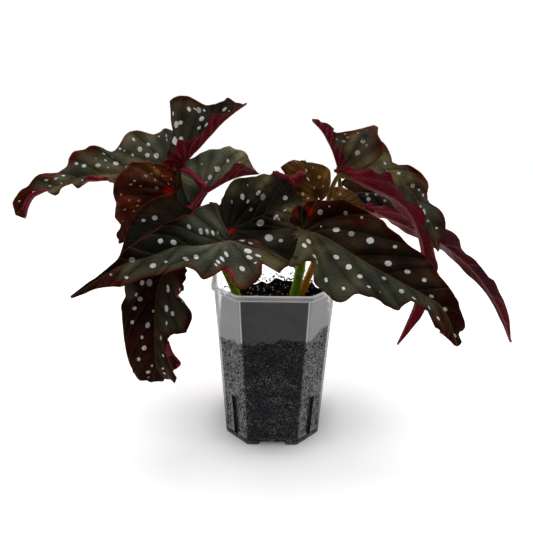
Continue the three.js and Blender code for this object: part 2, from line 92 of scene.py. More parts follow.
def unit(vectors: Array) -> Array:
    """The vectors scaled to length one along the last axis."""
    return vectors / np.maximum(np.linalg.norm(vectors, axis=-1, keepdims=True), 1e-12)


def grid_normals(grid: Array) -> Array:
    """Unit normals of a grid of points: the cross product of the ways along its rows and its columns."""
    return unit(np.cross(np.gradient(grid, axis=1), np.gradient(grid, axis=0)))


def ease(low: float, high: float, value: Array) -> Array:
    """A smooth step: 0 under low, 1 over high, 3t^2 - 2t^3 in between."""
    share = np.clip((value - low) / (high - low), 0, 1)
    return share * share * (3 - 2 * share)


def bell(away: Array, width: float) -> Array:
    """exp(-(away / width)^2): 1 at nothing, fading to both sides."""
    return np.exp(-((away / width) ** 2))


def around(turn: Array, reach: Array) -> tuple[Array, Array]:
    """X and y of places, from their angle round the upright axis and their distance from it."""
    return reach * np.cos(turn), reach * np.sin(turn)


def faded(seen: Array, marks: tuple, power: int) -> Array:
    """Sum of marks, each fading as strength * exp(-(distance / radius)^power).

    Args:
        seen: Photograph pixels of the places.
        marks: Rows of x, y, radius and strength.
        power: How sharply they end.

    Returns:
        The sum at each place.
    """
    total = np.zeros(seen.shape[:-1])
    for x, y, radius, strength in marks:
        away = np.linalg.norm(seen - (x, y), axis=-1) / radius
        total = total + strength * np.exp(-(away**power))
    return total


def smooth_value(values: Sequence[float], position: Array) -> Array:
    """Catmull-Rom curve through evenly spaced values.

    Args:
        values: The values at positions 0, 1, 2 and so on.
        position: Where the curve is read.

    Returns:
        The curve's value at each position.
    """
    known = np.asarray(values, float)
    x = np.clip(position, 0, len(known) - 1)
    i = np.minimum(x.astype(int), len(known) - 2)
    f = x - i
    a, b, c, d = (known[np.clip(i + k, 0, len(known) - 1)] for k in (-1, 0, 1, 2))
    return b + 0.5 * f * (c - a + f * (2 * a - 5 * b + 4 * c - d + f * (3 * (b - c) + d - a)))


class Midline:
    """A smooth curve through points, read by its share of the length."""

    STEPS = 200
    NUDGE = 1e-4

    def __init__(self, points: Sequence[Sequence[float]]) -> None:
        """Measures the curve.

        Args:
            points: The points that the curve passes through, in millimetres.
        """
        p = np.asarray(points, float)
        self.points = np.vstack([2 * p[0] - p[1], p, 2 * p[-1] - p[-2]])
        self.table = np.linspace(0, 1, self.STEPS + 1)
        steps = np.linalg.norm(np.diff(self._raw(self.table), axis=0), axis=1)
        self.reach = np.concatenate([[0], np.cumsum(steps)])
        self.length = float(self.reach[-1])

    def _raw(self, t: Array) -> Array:
        """Centripetal Catmull-Rom curve, whose knots lie the square root of each chord apart.

        Args:
            t: Shares of the way through the knots, from 0 to 1.

        Returns:
            The points, a row each.
        """
        last = len(self.points) - 3
        x = np.clip(t, 0, 1) * last
        i = np.minimum(x.astype(int), last - 1)
        w = (x - i)[:, None]
        p0, p1, p2, p3 = (self.points[i + k] for k in range(4))
        d0, d1, d2 = (np.sqrt(np.linalg.norm(b - a, axis=1))[:, None] for a, b in ((p0, p1), (p1, p2), (p2, p3)))
        m1 = ((p1 - p0) / d0 - (p2 - p0) / (d0 + d1) + (p2 - p1) / d1) * d1
        m2 = ((p2 - p1) / d1 - (p3 - p1) / (d1 + d2) + (p3 - p2) / d2) * d1
        return p1 + w * (m1 + w * (-3 * p1 + 3 * p2 - 2 * m1 - m2 + w * (2 * p1 - 2 * p2 + m1 + m2)))

    def at(self, share: Array) -> tuple[Array, Array]:
        """Points and unit tangents of the curve.

        Args:
            share: Shares of the length, from 0 to 1.

        Returns:
            The points and the tangents, a row each.
        """
        t = np.interp(np.atleast_1d(share) * self.length, self.reach, self.table)
        before, after = np.clip(t - self.NUDGE, 0, 1), np.clip(t + self.NUDGE, 0, 1)
        return self._raw(t), unit(self._raw(after) - self._raw(before))


class Lens:
    """The photograph's camera: turns places into photograph pixels and sets the scene's camera."""

    def __init__(self) -> None:
        """Works out where the camera stands and which way it looks."""
        drop, roll = math.radians(CAMERA_DROP), math.radians(CAMERA_ROLL)
        self.back = np.array([0, -math.cos(drop), math.sin(drop)])
        self.place = CAMERA_AIM + self.back * CAMERA_REACH
        side = np.array([1.0, 0, 0])
        rise = np.cross(self.back, side)
        self.right = math.cos(roll) * side + math.sin(roll) * rise
        self.up = math.cos(roll) * rise - math.sin(roll) * side

    def pixels(self, points: Array) -> Array:
        """Where points fall in the photograph.

        Args:
            points: Places in millimetres, with x, y and z along the last axis.

        Returns:
            Their x and y in the 533 pixel frame, y downward.
        """
        seen = points - self.place
        depth = -seen @ self.back
        across = PHOTO_FOCUS * (seen @ self.right) / depth
        down = -PHOTO_FOCUS * (seen @ self.up) / depth
        return np.stack([across, down], axis=-1) + PHOTO_SIDE / 2

    def facing(self, points: Array, normals: Array) -> Array:
        """Cosine between each normal and the way to the camera."""
        return (unit(self.place - points) * normals).sum(-1)

    def far(self, points: Array) -> Array:
        """Distance of points from the camera, straight ahead."""
        return -(points - self.place) @ self.back

    def place_at(self, seen: Array, far: Array) -> Array:
        """Places that fall on given photograph pixels, at given distances straight ahead."""
        across, down = ((seen - PHOTO_SIDE / 2) * np.asarray(far)[:, None] / PHOTO_FOCUS).T
        return self.place + np.outer(across, self.right) - np.outer(down, self.up) - np.outer(far, self.back)

    def build(self) -> None:
        """Adds the camera to the scene."""
        data = bpy.data.cameras.new("camera")
        data.sensor_width = SENSOR
        data.lens = PHOTO_FOCUS / PHOTO_SIDE * SENSOR
        data.clip_start, data.clip_end = 0.01, 50
        camera = bpy.data.objects.new("camera", data)
        turn = Matrix([list(self.right), list(self.up), list(self.back)]).transposed()
        camera.matrix_world = Matrix.Translation(Vector(self.place * MM)) @ turn.to_4x4()
        bpy.context.scene.collection.objects.link(camera)
        bpy.context.scene.camera = camera


class Signal:
    """A number on its way through a material's nodes; Python's operators add its Math nodes."""

    def __init__(self, recipe: "Recipe", socket: bpy.types.NodeSocket) -> None:
        """Wraps one output socket of a recipe's node tree."""
        self.recipe = recipe
        self.socket = socket

    def _math(self, operation: str, *terms: "Signal | float") -> "Signal":
        """One Math node over the terms."""
        return self.recipe.node("ShaderNodeMath", {"operation": operation}, dict(enumerate(terms)))

    def __add__(self, other: "Signal | float") -> "Signal":
        """Sum."""
        return self._math("ADD", self, other)

    __radd__ = __add__

    def __sub__(self, other: "Signal | float") -> "Signal":
        """Difference."""
        return self._math("SUBTRACT", self, other)

    def __rsub__(self, other: float) -> "Signal":
        """Difference from a number."""
        return self._math("SUBTRACT", other, self)

    def __mul__(self, other: "Signal | float") -> "Signal":
        """Product."""
        return self._math("MULTIPLY", self, other)

    __rmul__ = __mul__

    def __pow__(self, other: float) -> "Signal":
        """Power."""
        return self._math("POWER", self, other)

    def least(self, other: "Signal | float") -> "Signal":
        """The smaller of two values."""
        return self._math("MINIMUM", self, other)

    def most(self, other: "Signal | float") -> "Signal":
        """The larger of two values."""
        return self._math("MAXIMUM", self, other)

    def step(self, low: float, high: float) -> "Signal":
        """A smooth step of this value.

        Args:
            low: Where it is 0.
            high: Where it is 1, above low or below it.

        Returns:
            The step as a signal.
        """
        rising = {"interpolation_type": "SMOOTHSTEP"}
        if low < high:
            return self.recipe.node("ShaderNodeMapRange", rising, {0: self, 1: low, 2: high, 3: 0.0, 4: 1.0})
        return self.recipe.node("ShaderNodeMapRange", rising, {0: self, 1: high, 2: low, 3: 1.0, 4: 0.0})


class Recipe:
    """One material's node tree around its Principled shader."""

    def __init__(self, name: str) -> None:
        """Starts a material with a Principled shader.

        Args:
            name: The material's name.
        """
        self.material = bpy.data.materials.new(name)
        self.material.use_nodes = True
        self.tree = self.material.node_tree
        self.shader = self.tree.nodes["Principled BSDF"]

    def node(self, kind: str, settings: dict[str, Any], inputs: dict[int | str, Any], output: int | str = 0) -> Signal:
        """Adds a node.

        Args:
            kind: The node's type name.
            settings: Properties of the node, which are set first.
            inputs: Numbers, colours or signals by the input's name or place.
            output: The output that is wanted, by name or place.

        Returns:
            The wanted output as a signal.
        """
        made = self.tree.nodes.new(kind)
        for key, value in settings.items():
            setattr(made, key, value)
        for key, value in inputs.items():
            self._feed(made.inputs[key], value)
        return Signal(self, made.outputs[output])

    def _feed(self, socket: bpy.types.NodeSocket, value: Any) -> None:
        """Links a signal to a socket, or writes a plain value on it.

        Args:
            socket: The input socket.
            value: A signal, a number or a colour.
        """
        if isinstance(value, Signal):
            self.tree.links.new(value.socket, socket)
        elif isinstance(value, tuple) and len(value) == 3 and socket.type == "RGBA":
            socket.default_value = (*value, 1)
        else:
            socket.default_value = value

    def place(self, stretch: tuple[float, float, float] = (1, 1, 1)) -> Signal:
        """Object coordinates in metres.

        Args:
            stretch: What they are multiplied by along each axis.

        Returns:
            The coordinates as a signal.
        """
        spot = self.node("ShaderNodeTexCoord", {}, {}, "Object")
        if stretch == (1, 1, 1):
            return spot
        return self.node("ShaderNodeVectorMath", {"operation": "MULTIPLY"}, {0: spot, 1: stretch})

    def value(self, name: str) -> Signal:
        """A number that the mesh carries at each of its points."""
        return self.node("ShaderNodeAttribute", {"attribute_name": name}, {}, "Fac")

    def noise(self, scale: float, detail: float = 3, rough: float = 0.5, at: Signal | None = None) -> Signal:
        """Cloudy noise around one half, with scale patches to the metre."""
        inputs = {"Vector": at or self.place(), "Scale": scale, "Detail": detail, "Roughness": rough}
        return self.node("ShaderNodeTexNoise", {}, inputs)

    def cells(self, scale: float, feature: str = "DISTANCE_TO_EDGE", at: Signal | None = None) -> Signal:
        """Distance within cells, with scale cells to the metre."""
        inputs = {"Vector": at or self.place(), "Scale": scale}
        return self.node("ShaderNodeTexVoronoi", {"feature": feature}, inputs, "Distance")

    def blend(self, share: Signal | float, first: Any, second: Any) -> Signal:
        """One colour turning to another as share goes from 0 to 1."""
        return self.node("ShaderNodeMix", {"data_type": "RGBA"}, {0: share, 6: first, 7: second}, 2)

    def tint(self, colour: Any, by: Signal) -> Signal:
        """A colour made darker or lighter by a number."""
        grey = self.node("ShaderNodeCombineXYZ", {}, {0: by, 1: by, 2: by})
        return self.node("ShaderNodeVectorMath", {"operation": "MULTIPLY"}, {0: colour, 1: grey})

    def finish(
        self, varied: dict[str, Signal], fixed: dict[str, Any], height: Signal | None = None, relief: float = 0.0
    ) -> Material:
        """Feeds the shader.

        Args:
            varied: Signals by the name of the shader's socket.
            fixed: Plain values by the name of the shader's socket.
            height: A height between about 0 and 1, for the bumps.
            relief: The bumps' height in metres.

        Returns:
            The finished material.
        """
        for name, value in {**fixed, **varied}.items():
            self._feed(self.shader.inputs[name], value)
        if height is not None:
            bump = self.node("ShaderNodeBump", {}, {"Height": height, "Distance": relief, "Strength": 1.0})
            self._feed(self.shader.inputs["Normal"], bump)
        return self.material


@dataclass(frozen=True)
class BladeTop:
    """Upper face of a leaf: net of veins, brown shade, silver spots, a red edge, painted light and shade and a painted
    red glow.
    """

    name: str
    dark: Colour = paint(48, 49, 39)
    light: Colour = paint(76, 70, 47)
    brown: Colour = paint(56, 16, 0)
    silver: Colour = paint(222, 222, 217)
    vein: Colour = paint(100, 84, 54)
    edge: Colour = paint(92, 34, 22)
    # Red of the painted glow, where light shines through the blade.
    glow: Colour = paint(190, 4, 6)
    gloss: float = 0.34
    shine: float = 0.03
    coat: float = 0.0
    coat_rough: float = 0.16
    relief: float = 0.0005

    def build(self) -> Material:
        """Makes the material.

        Returns:
            The finished material.
        """
        r = Recipe(self.name)
        cloud = r.noise(26, 2)
        mottle = r.noise(150, 4, 0.6)
        net = r.cells(430)
        lines = net.step(0.16, 0.02)
        shade = (r.value("brown") + (cloud - 0.5) * 0.8 + r.value("rim").step(6, 0) * 0.3).step(0.25, 0.8)
        leaf = r.blend(cloud.step(0.4, 0.66), self.dark, self.light)
        leaf = r.blend(shade, leaf, self.brown)
        # Painted shade: the top is darker in the valleys beside the side veins.
        painted_vein_shade = r.value("vein").step(4.5, 0.3)
        # Painted light and shade: the top's colour is multiplied by its tone value.
        leaf = r.tint(leaf, (mottle * 0.7 + 0.72 - lines * 0.16) * (1.1 - painted_vein_shade * 0.38) * r.value("tone"))
        vein = r.value("vein").step(0.9, 0.2) * 0.14
        rib = r.value("rib").step(1.0, 0.35) * r.value("ribbing")
        leaf = r.blend(vein, leaf, self.vein)
        leaf = r.blend(rib, leaf, self.vein)
        # Painted light: red glow where light shines through the blade.
        leaf = r.blend(r.value("glow"), leaf, self.glow)
        rough_edge = r.value("spot") + (r.noise(900, 2) - 0.5) * 0.16
        spot = rough_edge.step(1.06, 0.9)
        grain = r.noise(1500, 2) * 0.5 + 0.75
        # Painted shade on the spots: they follow the top's painted light, and spot_painted_shade darkens them further.
        lit = (r.value("tone") ** 0.28).least(1)
        leaf = r.blend(spot, leaf, r.tint(self.silver, grain * lit * (1 - r.value("spot_painted_shade") * 0.45)))
        leaf = r.blend(r.value("rim").step(0.6, 0.2) * 0.6, leaf, self.edge)
        height = mottle * 0.5 - lines * 0.35 - r.value("vein").step(1.6, 0) * 1.1
        rough = mottle * 0.22 + (self.gloss - 0.06) + spot * 0.1
        fixed = {"Coat Weight": self.coat, "Coat Roughness": self.coat_rough, "Specular IOR Level": self.shine}
        return r.finish({"Base Color": leaf, "Roughness": rough}, fixed, height, self.relief)


@dataclass(frozen=True)
class BladeUnder:
    """Underside of a leaf: wine red with paler veins."""

    name: str
    wine: Colour = paint(116, 0, 22)
    mauve: Colour = paint(120, 20, 40)
    vein: Colour = paint(168, 92, 92)
    gloss: float = 0.42
    shine: float = 0.15
    relief: float = 0.0005

    def build(self) -> Material:
        """Makes the material.

        Returns:
            The finished material.
        """
        r = Recipe(self.name)
        cloud = r.noise(30, 3)
        mottle = r.noise(190, 4, 0.6)
        lines = r.cells(430).step(0.2, 0.02)
        colour = r.blend(cloud.step(0.42, 0.66), self.wine, self.mauve)
        # The depth value is painted light and shade on the underside.
        colour = r.tint(colour, (mottle * 0.7 + 0.66 + lines * 0.12) * r.value("depth"))
        colour = r.blend(r.value("vein").step(1.1, 0.2) * 0.25, colour, self.vein)
        colour = r.blend(r.value("rib").step(1.5, 0.5) * 0.45, colour, self.vein)
        height = mottle * 0.4 + lines * 0.5 + r.value("vein").step(1.4, 0) * 1.2
        varied = {"Base Color": colour, "Roughness": mottle * 0.2 + self.gloss - 0.06}
        return r.finish(varied, {"Specular IOR Level": self.shine}, height, self.relief)


@dataclass(frozen=True)
class Stalk:
    """Skin of a cane or petiole: fine lengthwise streaks and small pale dots."""

    name: str
    skin: Colour
    flush: Colour
    dot: Colour
    gloss: float = 0.36
    shine: float = 0.15
    relief: float = 0.0003

    def build(self) -> Material:
        """Makes the material.

        Returns:
            The finished material.
        """
        r = Recipe(self.name)
        streak = r.noise(420, 3, 0.5, r.place((1, 1, 0.12)))
        cloud = r.noise(60, 2)
        dots = r.cells(520, "F1", r.place((1, 1, 0.5))).step(0.22, 0.12)
        colour = r.blend(cloud.step(0.42, 0.62), self.skin, self.flush)
        colour = r.tint(colour, streak * 0.8 + 0.6)
        colour = r.blend(dots * 0.5, colour, self.dot)
        colour = r.blend(r.value("ring"), colour, self.dot)
        height = streak * 0.5 + dots * 0.4
        varied = {"Base Color": colour, "Roughness": streak * 0.2 + self.gloss - 0.1}
        return r.finish(varied, {"Specular IOR Level": self.shine}, height, self.relief)


@dataclass(frozen=True)
class MilkyPlastic:
    """Thin plastic, with painted highlights on its edges, painted light above the soil and on its corners, and painted
    shade.
    """

    name: str
    painted_white: Colour = paint(238, 239, 239)
    painted_veil_grey: Colour = paint(102, 103, 105)
    crumb: Colour = paint(138, 126, 116)
    painted_shade_and_soil_dark: Colour = paint(22, 23, 25)
    dust: Colour = paint(172, 174, 176)
    clear: float = 0.006
    frost: float = 0.014
    fog: float = 0.72
    corner_painted_veil: float = 0.45
    edge: float = 0.86
    painted_shade_and_soil_cover: float = 0.85
    bend: float = 1.35
    shine: float = 0.12
    relief: float = 0.00003

    def build(self) -> Material:
        """Makes the material.

        Returns:
            The finished material.
        """
        r = Recipe(self.name)
        cloud = r.noise(34, 3)
        flow = r.noise(160, 3, 0.6)
        frost, fog = r.value("frost"), r.value("fog")
        # Painted highlights: white along the edges and the lip.
        edge = r.value("moulded")
        speck = (r.noise(800, 3, 0.6) * 0.6 + r.noise(330, 4, 0.7) * 0.4).step(0.53, 0.58)
        # Dark with pale specks, where painted shade and the look of the soil are put on the wall.
        painted_shade_and_soil_dark = r.blend(speck * (r.noise(70, 3) * 1.4 - 0.25), self.painted_shade_and_soil_dark, self.dust)
        crumbs = r.noise(520, 3, 0.6).step(0.56, 0.66) * cloud.step(0.35, 0.6)
        crumbs = crumbs * fog.step(1.14, 1.04) * fog.step(0.94, 0.98)
        # Painted light: a grey veil above the soil, painted white on the corners.
        painted_veil_grey = r.blend(frost, r.blend(crumbs * 0.24, r.tint(self.painted_veil_grey, cloud * 0.7 + 0.65), self.crumb), self.painted_white)
        # The foot value lays painted shade with the look of the soil, and the painted highlights lie white on top.
        colour = r.blend(edge.step(0, 0.4), r.blend(r.value("foot"), painted_veil_grey, painted_shade_and_soil_dark), self.painted_white)
        # The painted corner light, the painted veil, the painted highlights and the painted shade also set how clear
        # the wall is.
        cover = frost * self.frost + self.clear + fog * (frost * (self.corner_painted_veil - self.fog) + self.fog)
        cover = cover + r.value("foot") * self.painted_shade_and_soil_cover + edge * self.edge
        varied = {"Base Color": colour, "Roughness": flow * 0.12 + 0.2, "Alpha": cover}
        return r.finish(varied, {"IOR": self.bend, "Specular IOR Level": self.shine}, flow * 0.3, self.relief)


@dataclass(frozen=True)
class PottingMix:
    """Peaty mix: near black with grey specks and fine pale fibres; painted light behind corners, painted shade behind
    slots.
    """

    name: str
    peat: Colour = paint(11, 9, 8)
    fibre: Colour = paint(178, 180, 182)
    packed: Colour = paint(34, 36, 39)
    painted_lit_packed: Colour = paint(42, 43, 45)
    bark: Colour = paint(70, 42, 24)
    shine: float = 0.08
    relief: float = 0.0012

    def build(self) -> Material:
        """Makes the material.

        Returns:
            The finished material.
        """
        r = Recipe(self.name)
        grain = r.noise(1100, 4, 0.7)
        bits = r.noise(330, 4, 0.7)
        patch = r.noise(70, 3)
        swirl = r.noise(400, 2, 0.5, r.place((1, 1, 0.7)))
        thread = (swirl - 0.5).most(0.5 - swirl).step(0.09, 0.03) * (patch * 0.9 + 0.35)
        speck = (grain * 0.75 + bits * 0.25).step(0.51, 0.6) * (patch * 1.8 - 0.35)
        pressed, frost = r.value("pressed"), r.value("frost")
        colour = r.blend(bits.step(0.6, 0.7) * 0.6, self.peat, self.bark)
        # Painted light: lighter packed soil and more pale fibres behind the pot's corners.
        colour = r.blend(pressed * 0.8, colour, r.blend(frost, self.packed, self.painted_lit_packed))
        colour = r.blend(pressed * (speck * 0.5 + frost * (thread * 0.54 + speck * 0.2)), colour, self.fibre)
        varied = {"Base Color": colour, "Roughness": grain * 0.2 + 0.75}
        return r.finish(varied, {"Specular IOR Level": self.shine}, grain * 0.6 + bits, self.relief)


@dataclass(frozen=True)
class Grit:
    """Loose bits on the soil: perlite, bark or peat crumbs."""

    name: str
    body: Colour
    shade: Colour
    rough: float = 0.85
    shine: float = 0.1
    relief: float = 0.0004

    def build(self) -> Material:
        """Makes the material.

        Returns:
            The finished material.
        """
        r = Recipe(self.name)
        grain = r.noise(900, 4, 0.7)
        colour = r.blend(grain.step(0.35, 0.7), self.shade, self.body)
        varied = {"Base Color": colour, "Roughness": grain * 0.2 + self.rough - 0.1}
        return r.finish(varied, {"Specular IOR Level": self.shine}, grain, self.relief)


@dataclass(frozen=True)
class Seamless:
    """Pale studio floor, whose glow fades under the pot in a painted round shadow and a painted wide flat one.

    The painted shadows run from the first to the second distance in metres from the pot's axis.
    """

    name: str = "studio_floor"
    white: Colour = (0.9, 0.9, 0.9)
    glow: float = 0.4
    round_shade: tuple[float, float] = (0.028, 0.062)
    flat_shade: tuple[float, float] = (0.024, 0.078)
    rough: float = 0.9
    shine: float = 0.1

    def build(self) -> Material:
        """Makes the material.

        Returns:
            The finished material.
        """
        r = Recipe(self.name)
        near, far = (
            r.node("ShaderNodeVectorMath", {"operation": "LENGTH"}, {0: r.place(stretch)}, "Value")
            for stretch in ((1, 1, 1), (0.5, 1, 1))
        )
        # Painted shadow: the floor's glow fades near the pot.
        wide = far.step(*self.flat_shade)
        glow = r.tint((1, 1, 1), near.step(*self.round_shade) * 0.5 + wide * (2 - wide) * 0.4 + 0.1)
        fixed = {
            "Base Color": (*self.white, 1), "Roughness": self.rough, "Specular IOR Level": self.shine,
            "Emission Strength": self.glow,
        }
        return r.finish({"Emission Color": glow}, fixed)


class Mesher:
    """Collects grid surfaces of one piece and writes them to a mesh."""

    def __init__(self) -> None:
        """Starts with nothing."""
        self.points: list[Array] = []
        self.faces: list[tuple[Array, int]] = []
        self.values: dict[str, list[tuple[int, Array]]] = {}
        self.count = 0

    def add_points(self, points: Array, **values: Array) -> int:
        """Adds points.

        Args:
            points: Places in millimetres, with any leading shape.
            values: Numbers for the materials, one per point.

        Returns:
            The index of the first point.
        """
        flat = np.reshape(points, (-1, 3))
        first = self.count
        self.points.append(flat)
        self.count += len(flat)
        for name, numbers in values.items():
            spread = np.broadcast_to(numbers, np.shape(points)[:-1]).ravel()
            self.values.setdefault(name, []).append((first, spread))
        return first

    def add_faces(self, faces: Array, material: int = 0) -> None:
        """Adds triangles or quads, a row each, with one material place."""
        self.faces.append((np.asarray(faces, np.int64), material))

    def add_grid(self, index: Array, material: int = 0, round_way: bool = False, keep: Array | None = None) -> None:
        """Adds the quads of a grid of point indices.

        Args:
            index: Point indices, rows by columns. The quads face along the cross product
                of the way along a row and the way to the next row.
            material: The material's place on the piece.
            round_way: Whether the last column joins the first one.
            keep: Which quads stay, if not all do.
        """
        grid = np.concatenate([index, index[:, :1]], axis=1) if round_way else index
        quads = np.stack([grid[:-1, :-1], grid[:-1, 1:], grid[1:, 1:], grid[1:, :-1]], axis=-1)
        chosen = quads.reshape(-1, 4) if keep is None else quads[keep]
        self.add_faces(chosen, material)

    def add_sheet(self, front: Array, back: Array, back_material: int, values: dict[str, Array]) -> None:
        """Adds a thin closed sheet: its front, its back and the rim between them.

        Args:
            front: Grid of the front's points.
            back: Grid of the back's points.
            back_material: The back's material place; the front and the rim have the first.
            values: Numbers for the materials, the same on both sides.
        """
        first, second = (self.add_points(side, **values) for side in (front, back))
        index = np.arange(front[..., 0].size).reshape(front.shape[:2])
        self.add_grid(first + index, 0)
        self.add_grid(second + index[:, ::-1], back_material)
        rim = np.concatenate([index[0, :-1], index[:-1, -1], index[-1, :0:-1], index[:0:-1, 0]])
        after = np.roll(rim, -1)
        self.add_faces(np.stack([first + after, first + rim, second + rim, second + after], axis=1), 0)

    def close(self, border: Array, middle: Sequence[float], material: int = 0, **values: Array) -> None:
        """Closes a ring of point indices with triangles to a new middle point."""
        tip = self.add_points(np.reshape(middle, (1, 3)), **values)
        self.add_faces(np.stack([border, np.roll(border, -1), np.full(border.size, tip)], axis=1), material)

    def build(self, name: str, materials: Sequence[Material], smooth: bool = True) -> bpy.types.Object:
        """Writes the mesh.

        Args:
            name: The piece's name.
            materials: Its materials, by place.
            smooth: Whether its faces are shaded smooth.

        Returns:
            The new object, at the origin.
        """
        mesh = bpy.data.meshes.new(name)
        points = np.concatenate(self.points) * MM
        loops = np.concatenate([faces.ravel() for faces, _ in self.faces])
        sizes = np.concatenate([np.full(len(faces), faces.shape[1]) for faces, _ in self.faces])
        mesh.vertices.add(len(points))
        mesh.vertices.foreach_set("co", points.astype(np.float32).ravel())
        mesh.loops.add(len(loops))
        mesh.loops.foreach_set("vertex_index", loops.astype(np.int32))
        mesh.polygons.add(len(sizes))
        mesh.polygons.foreach_set("loop_start", (np.cumsum(sizes) - sizes).astype(np.int32))
        places = np.concatenate([np.full(len(faces), place, np.int32) for faces, place in self.faces])
        mesh.polygons.foreach_set("material_index", places)
        mesh.polygons.foreach_set("use_smooth", np.full(len(sizes), smooth))
        for label, parts in self.values.items():
            numbers = np.zeros(len(points), np.float32)
            for first, part in parts:
                numbers[first : first + len(part)] = part
            mesh.attributes.new(label, "FLOAT", "POINT").data.foreach_set("value", numbers)
        for material in materials:
            mesh.materials.append(material)
        mesh.update(calc_edges=True)
        mesh.validate()
        piece = bpy.data.objects.new(name, mesh)
        bpy.context.scene.collection.objects.link(piece)
        return piece


def settle(piece: bpy.types.Object, slot: str, *nodes: str) -> None:
    """Hangs a finished piece on the frame.

    Args:
        piece: The new object.
        slot: The record's material slot; not used.
        nodes: The frame's nodes that it stands for.
    """
    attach(piece, "root")
    if nodes:
        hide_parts(*nodes)
    log.info("%s: %d triangles", piece.name, sum(len(face.vertices) - 2 for face in piece.data.polygons))


def add_tube(
    mesher: Mesher, centres: Array, ways: Array, radii: Array, sides: int, material: int, **values: Array
) -> None:
    """Adds a closed round tube.

    Each ring is centre + radius * (cos turn * across + sin turn * other), where across is a fixed
    direction with its part along the tube taken out, and both ends close on a middle point.

    Args:
        mesher: The piece that the tube belongs to.
        centres: The rings' middles.
        ways: Unit vectors along the tube.
        radii: The rings' radii.
        sides: Points to a ring.
        material: The material's place.
        values: Numbers for the materials, one per ring.
    """
    pick = np.eye(3)[np.argmin(np.abs(ways).max(axis=0))]
    across = unit(pick - (ways @ pick)[:, None] * ways)
    other = np.cross(ways, across)
    turn = np.linspace(0, 2 * np.pi, sides, endpoint=False)[None, :, None]
    ring = np.cos(turn) * across[:, None] + np.sin(turn) * other[:, None]
    grid = centres[:, None] + radii[:, None, None] * ring
    first = mesher.add_points(grid, **{name: numbers[:, None] for name, numbers in values.items()})
    index = first + np.arange(len(centres) * sides).reshape(-1, sides)
    mesher.add_grid(index, material, round_way=True)
    for border, end in ((index[0][::-1], 0), (index[-1], -1)):
        mesher.close(border, centres[end], material, **{name: numbers[end] for name, numbers in values.items()})


@dataclass(frozen=True)
class Cane:
    """One cane with its swollen joints and leaf scars: its path and its radii at the foot and the tip."""

    path: tuple
    radii: tuple[float, float]
    finish: str = "green_cane"
    swell: float = 0.45
    sides: int = 28
    rings: int = 170

    def radius(self, share: Array) -> Array:
        """The plain radius at a share of the length."""
        return self.radii[0] + (self.radii[1] - self.radii[0]) * share

    def build(self, name: str, joints: Sequence[float], finishes: Finishes) -> None:
        """Makes the cane: its radius tapers evenly and swells as exp(-(distance / 3 mm)^2) at each joint.

        Args:
            name: The frame's node that the cane stands for.
            joints: The joints' shares of the length.
            finishes: The finished materials by name.
        """
        line = Midline(self.path)
        t = np.linspace(0, 1, self.rings)
        radius = self.radius(t)
        scars = np.zeros(t.size)
        for share in joints:
            away = (t - share) * line.length
            radius = radius + self.swell * bell(away, 3) - 0.25 * bell(away + 1.6, 0.6)
            scars = np.maximum(scars, 0.6 * bell(away + 1.6, 0.7))
        radius = radius * np.where(t > 0.985, np.sqrt(np.clip((1 - t) / 0.015, 0.12, 1)), 1)
        mesher = Mesher()
        add_tube(mesher, *line.at(t), radius, self.sides, 0, ring=scars)
        piece = mesher.build(f"fine_{name}", [finishes[self.finish]])
        settle(piece, "ripe_cane" if self.finish == "ripe_cane" else "cane", name)


CANES = {
    "cane_left": Cane(((-22, 0, 84), (-25, -1, 102), (-34.5, -3, 128), (-49, -3, 160), (-60, 3, 196)), (3.1, 2.0)),
    "cane_middle": Cane(((13, 4, 84), (15, 5, 102), (20, 4, 134), (23, 3, 160), (25, 5, 184)), (4.4, 2.3)),
    "cane_right": Cane(
        ((17, 21, 84), (22, 21, 102), (31, 19, 130), (37, 17, 158), (40, 15, 184)), (3.2, 2.0), "ripe_cane"
    ),
}
BARE_JOINTS = (0.17, 0.26)


class Kind(Enum):
    """What a leaf is made of: young leaves take the young finishes, and grown and wine leaves the same grown ones."""

    GROWN = "leaf"
    WINE = "wine_leaf"
    YOUNG = "young_leaf"


@dataclass(frozen=True)
class Leaf:
    """One leaf: its midrib, the reach of each half, and the marks on it.

    The rows of a blade run from the basal lobes to the tip, and its columns from the left margin over
    the midrib to the right one, seen on its top with the tip ahead. Marks that the photograph shows are
    placed by their photograph pixels: spots as x, y, length, width and turn, and painted_glows, painted_shades,
    painted_under_shades, stains and curls as x, y, radius and strength. Painted light and shade make the top
    lighter or darker by each half's tone and by the painted_shades, and the underside by the
    painted_under_shades; painted_shade_spots are spots painted darker where they lie in shade, and
    painted_glows paint red light where it shines through the blade. A stain makes the top browner, and a curl
    turns its margin up, in degrees. An edge is the outline that the photograph shows of that half. A petiole
    is its cane, its joint's share of the cane, and points on its way.
    """

    mid: tuple
    left: tuple
    right: tuple
    wide_left: tuple
    wide_right: tuple
    wave: tuple[float, float, float]
    petiole: tuple
    kind: Kind = Kind.GROWN
    brown: tuple[float, float] = (0.35, 0.35)
    # Painted light and shade: how much lighter or darker each half's top is painted.
    tone: tuple[float, float] = (1.0, 1.0)
    ribbing: float = 0.5
    edge_left: tuple = ()
    edge_right: tuple = ()
    curls: tuple = ()
    spots: tuple = ()
    # Painted shade: spots painted darker where they lie in shade.
    painted_shade_spots: tuple = ()
    # Painted light: red glow where light shines through the blade.
    painted_glows: tuple = ()
    # Painted light and shade: soft patches that paint the top lighter or darker.
    painted_shades: tuple = ()
    # Painted light and shade: soft patches that paint the underside lighter or darker.
    painted_under_shades: tuple = ()
    stains: tuple = ()
    seeded: int = 0
    rear: bool = False


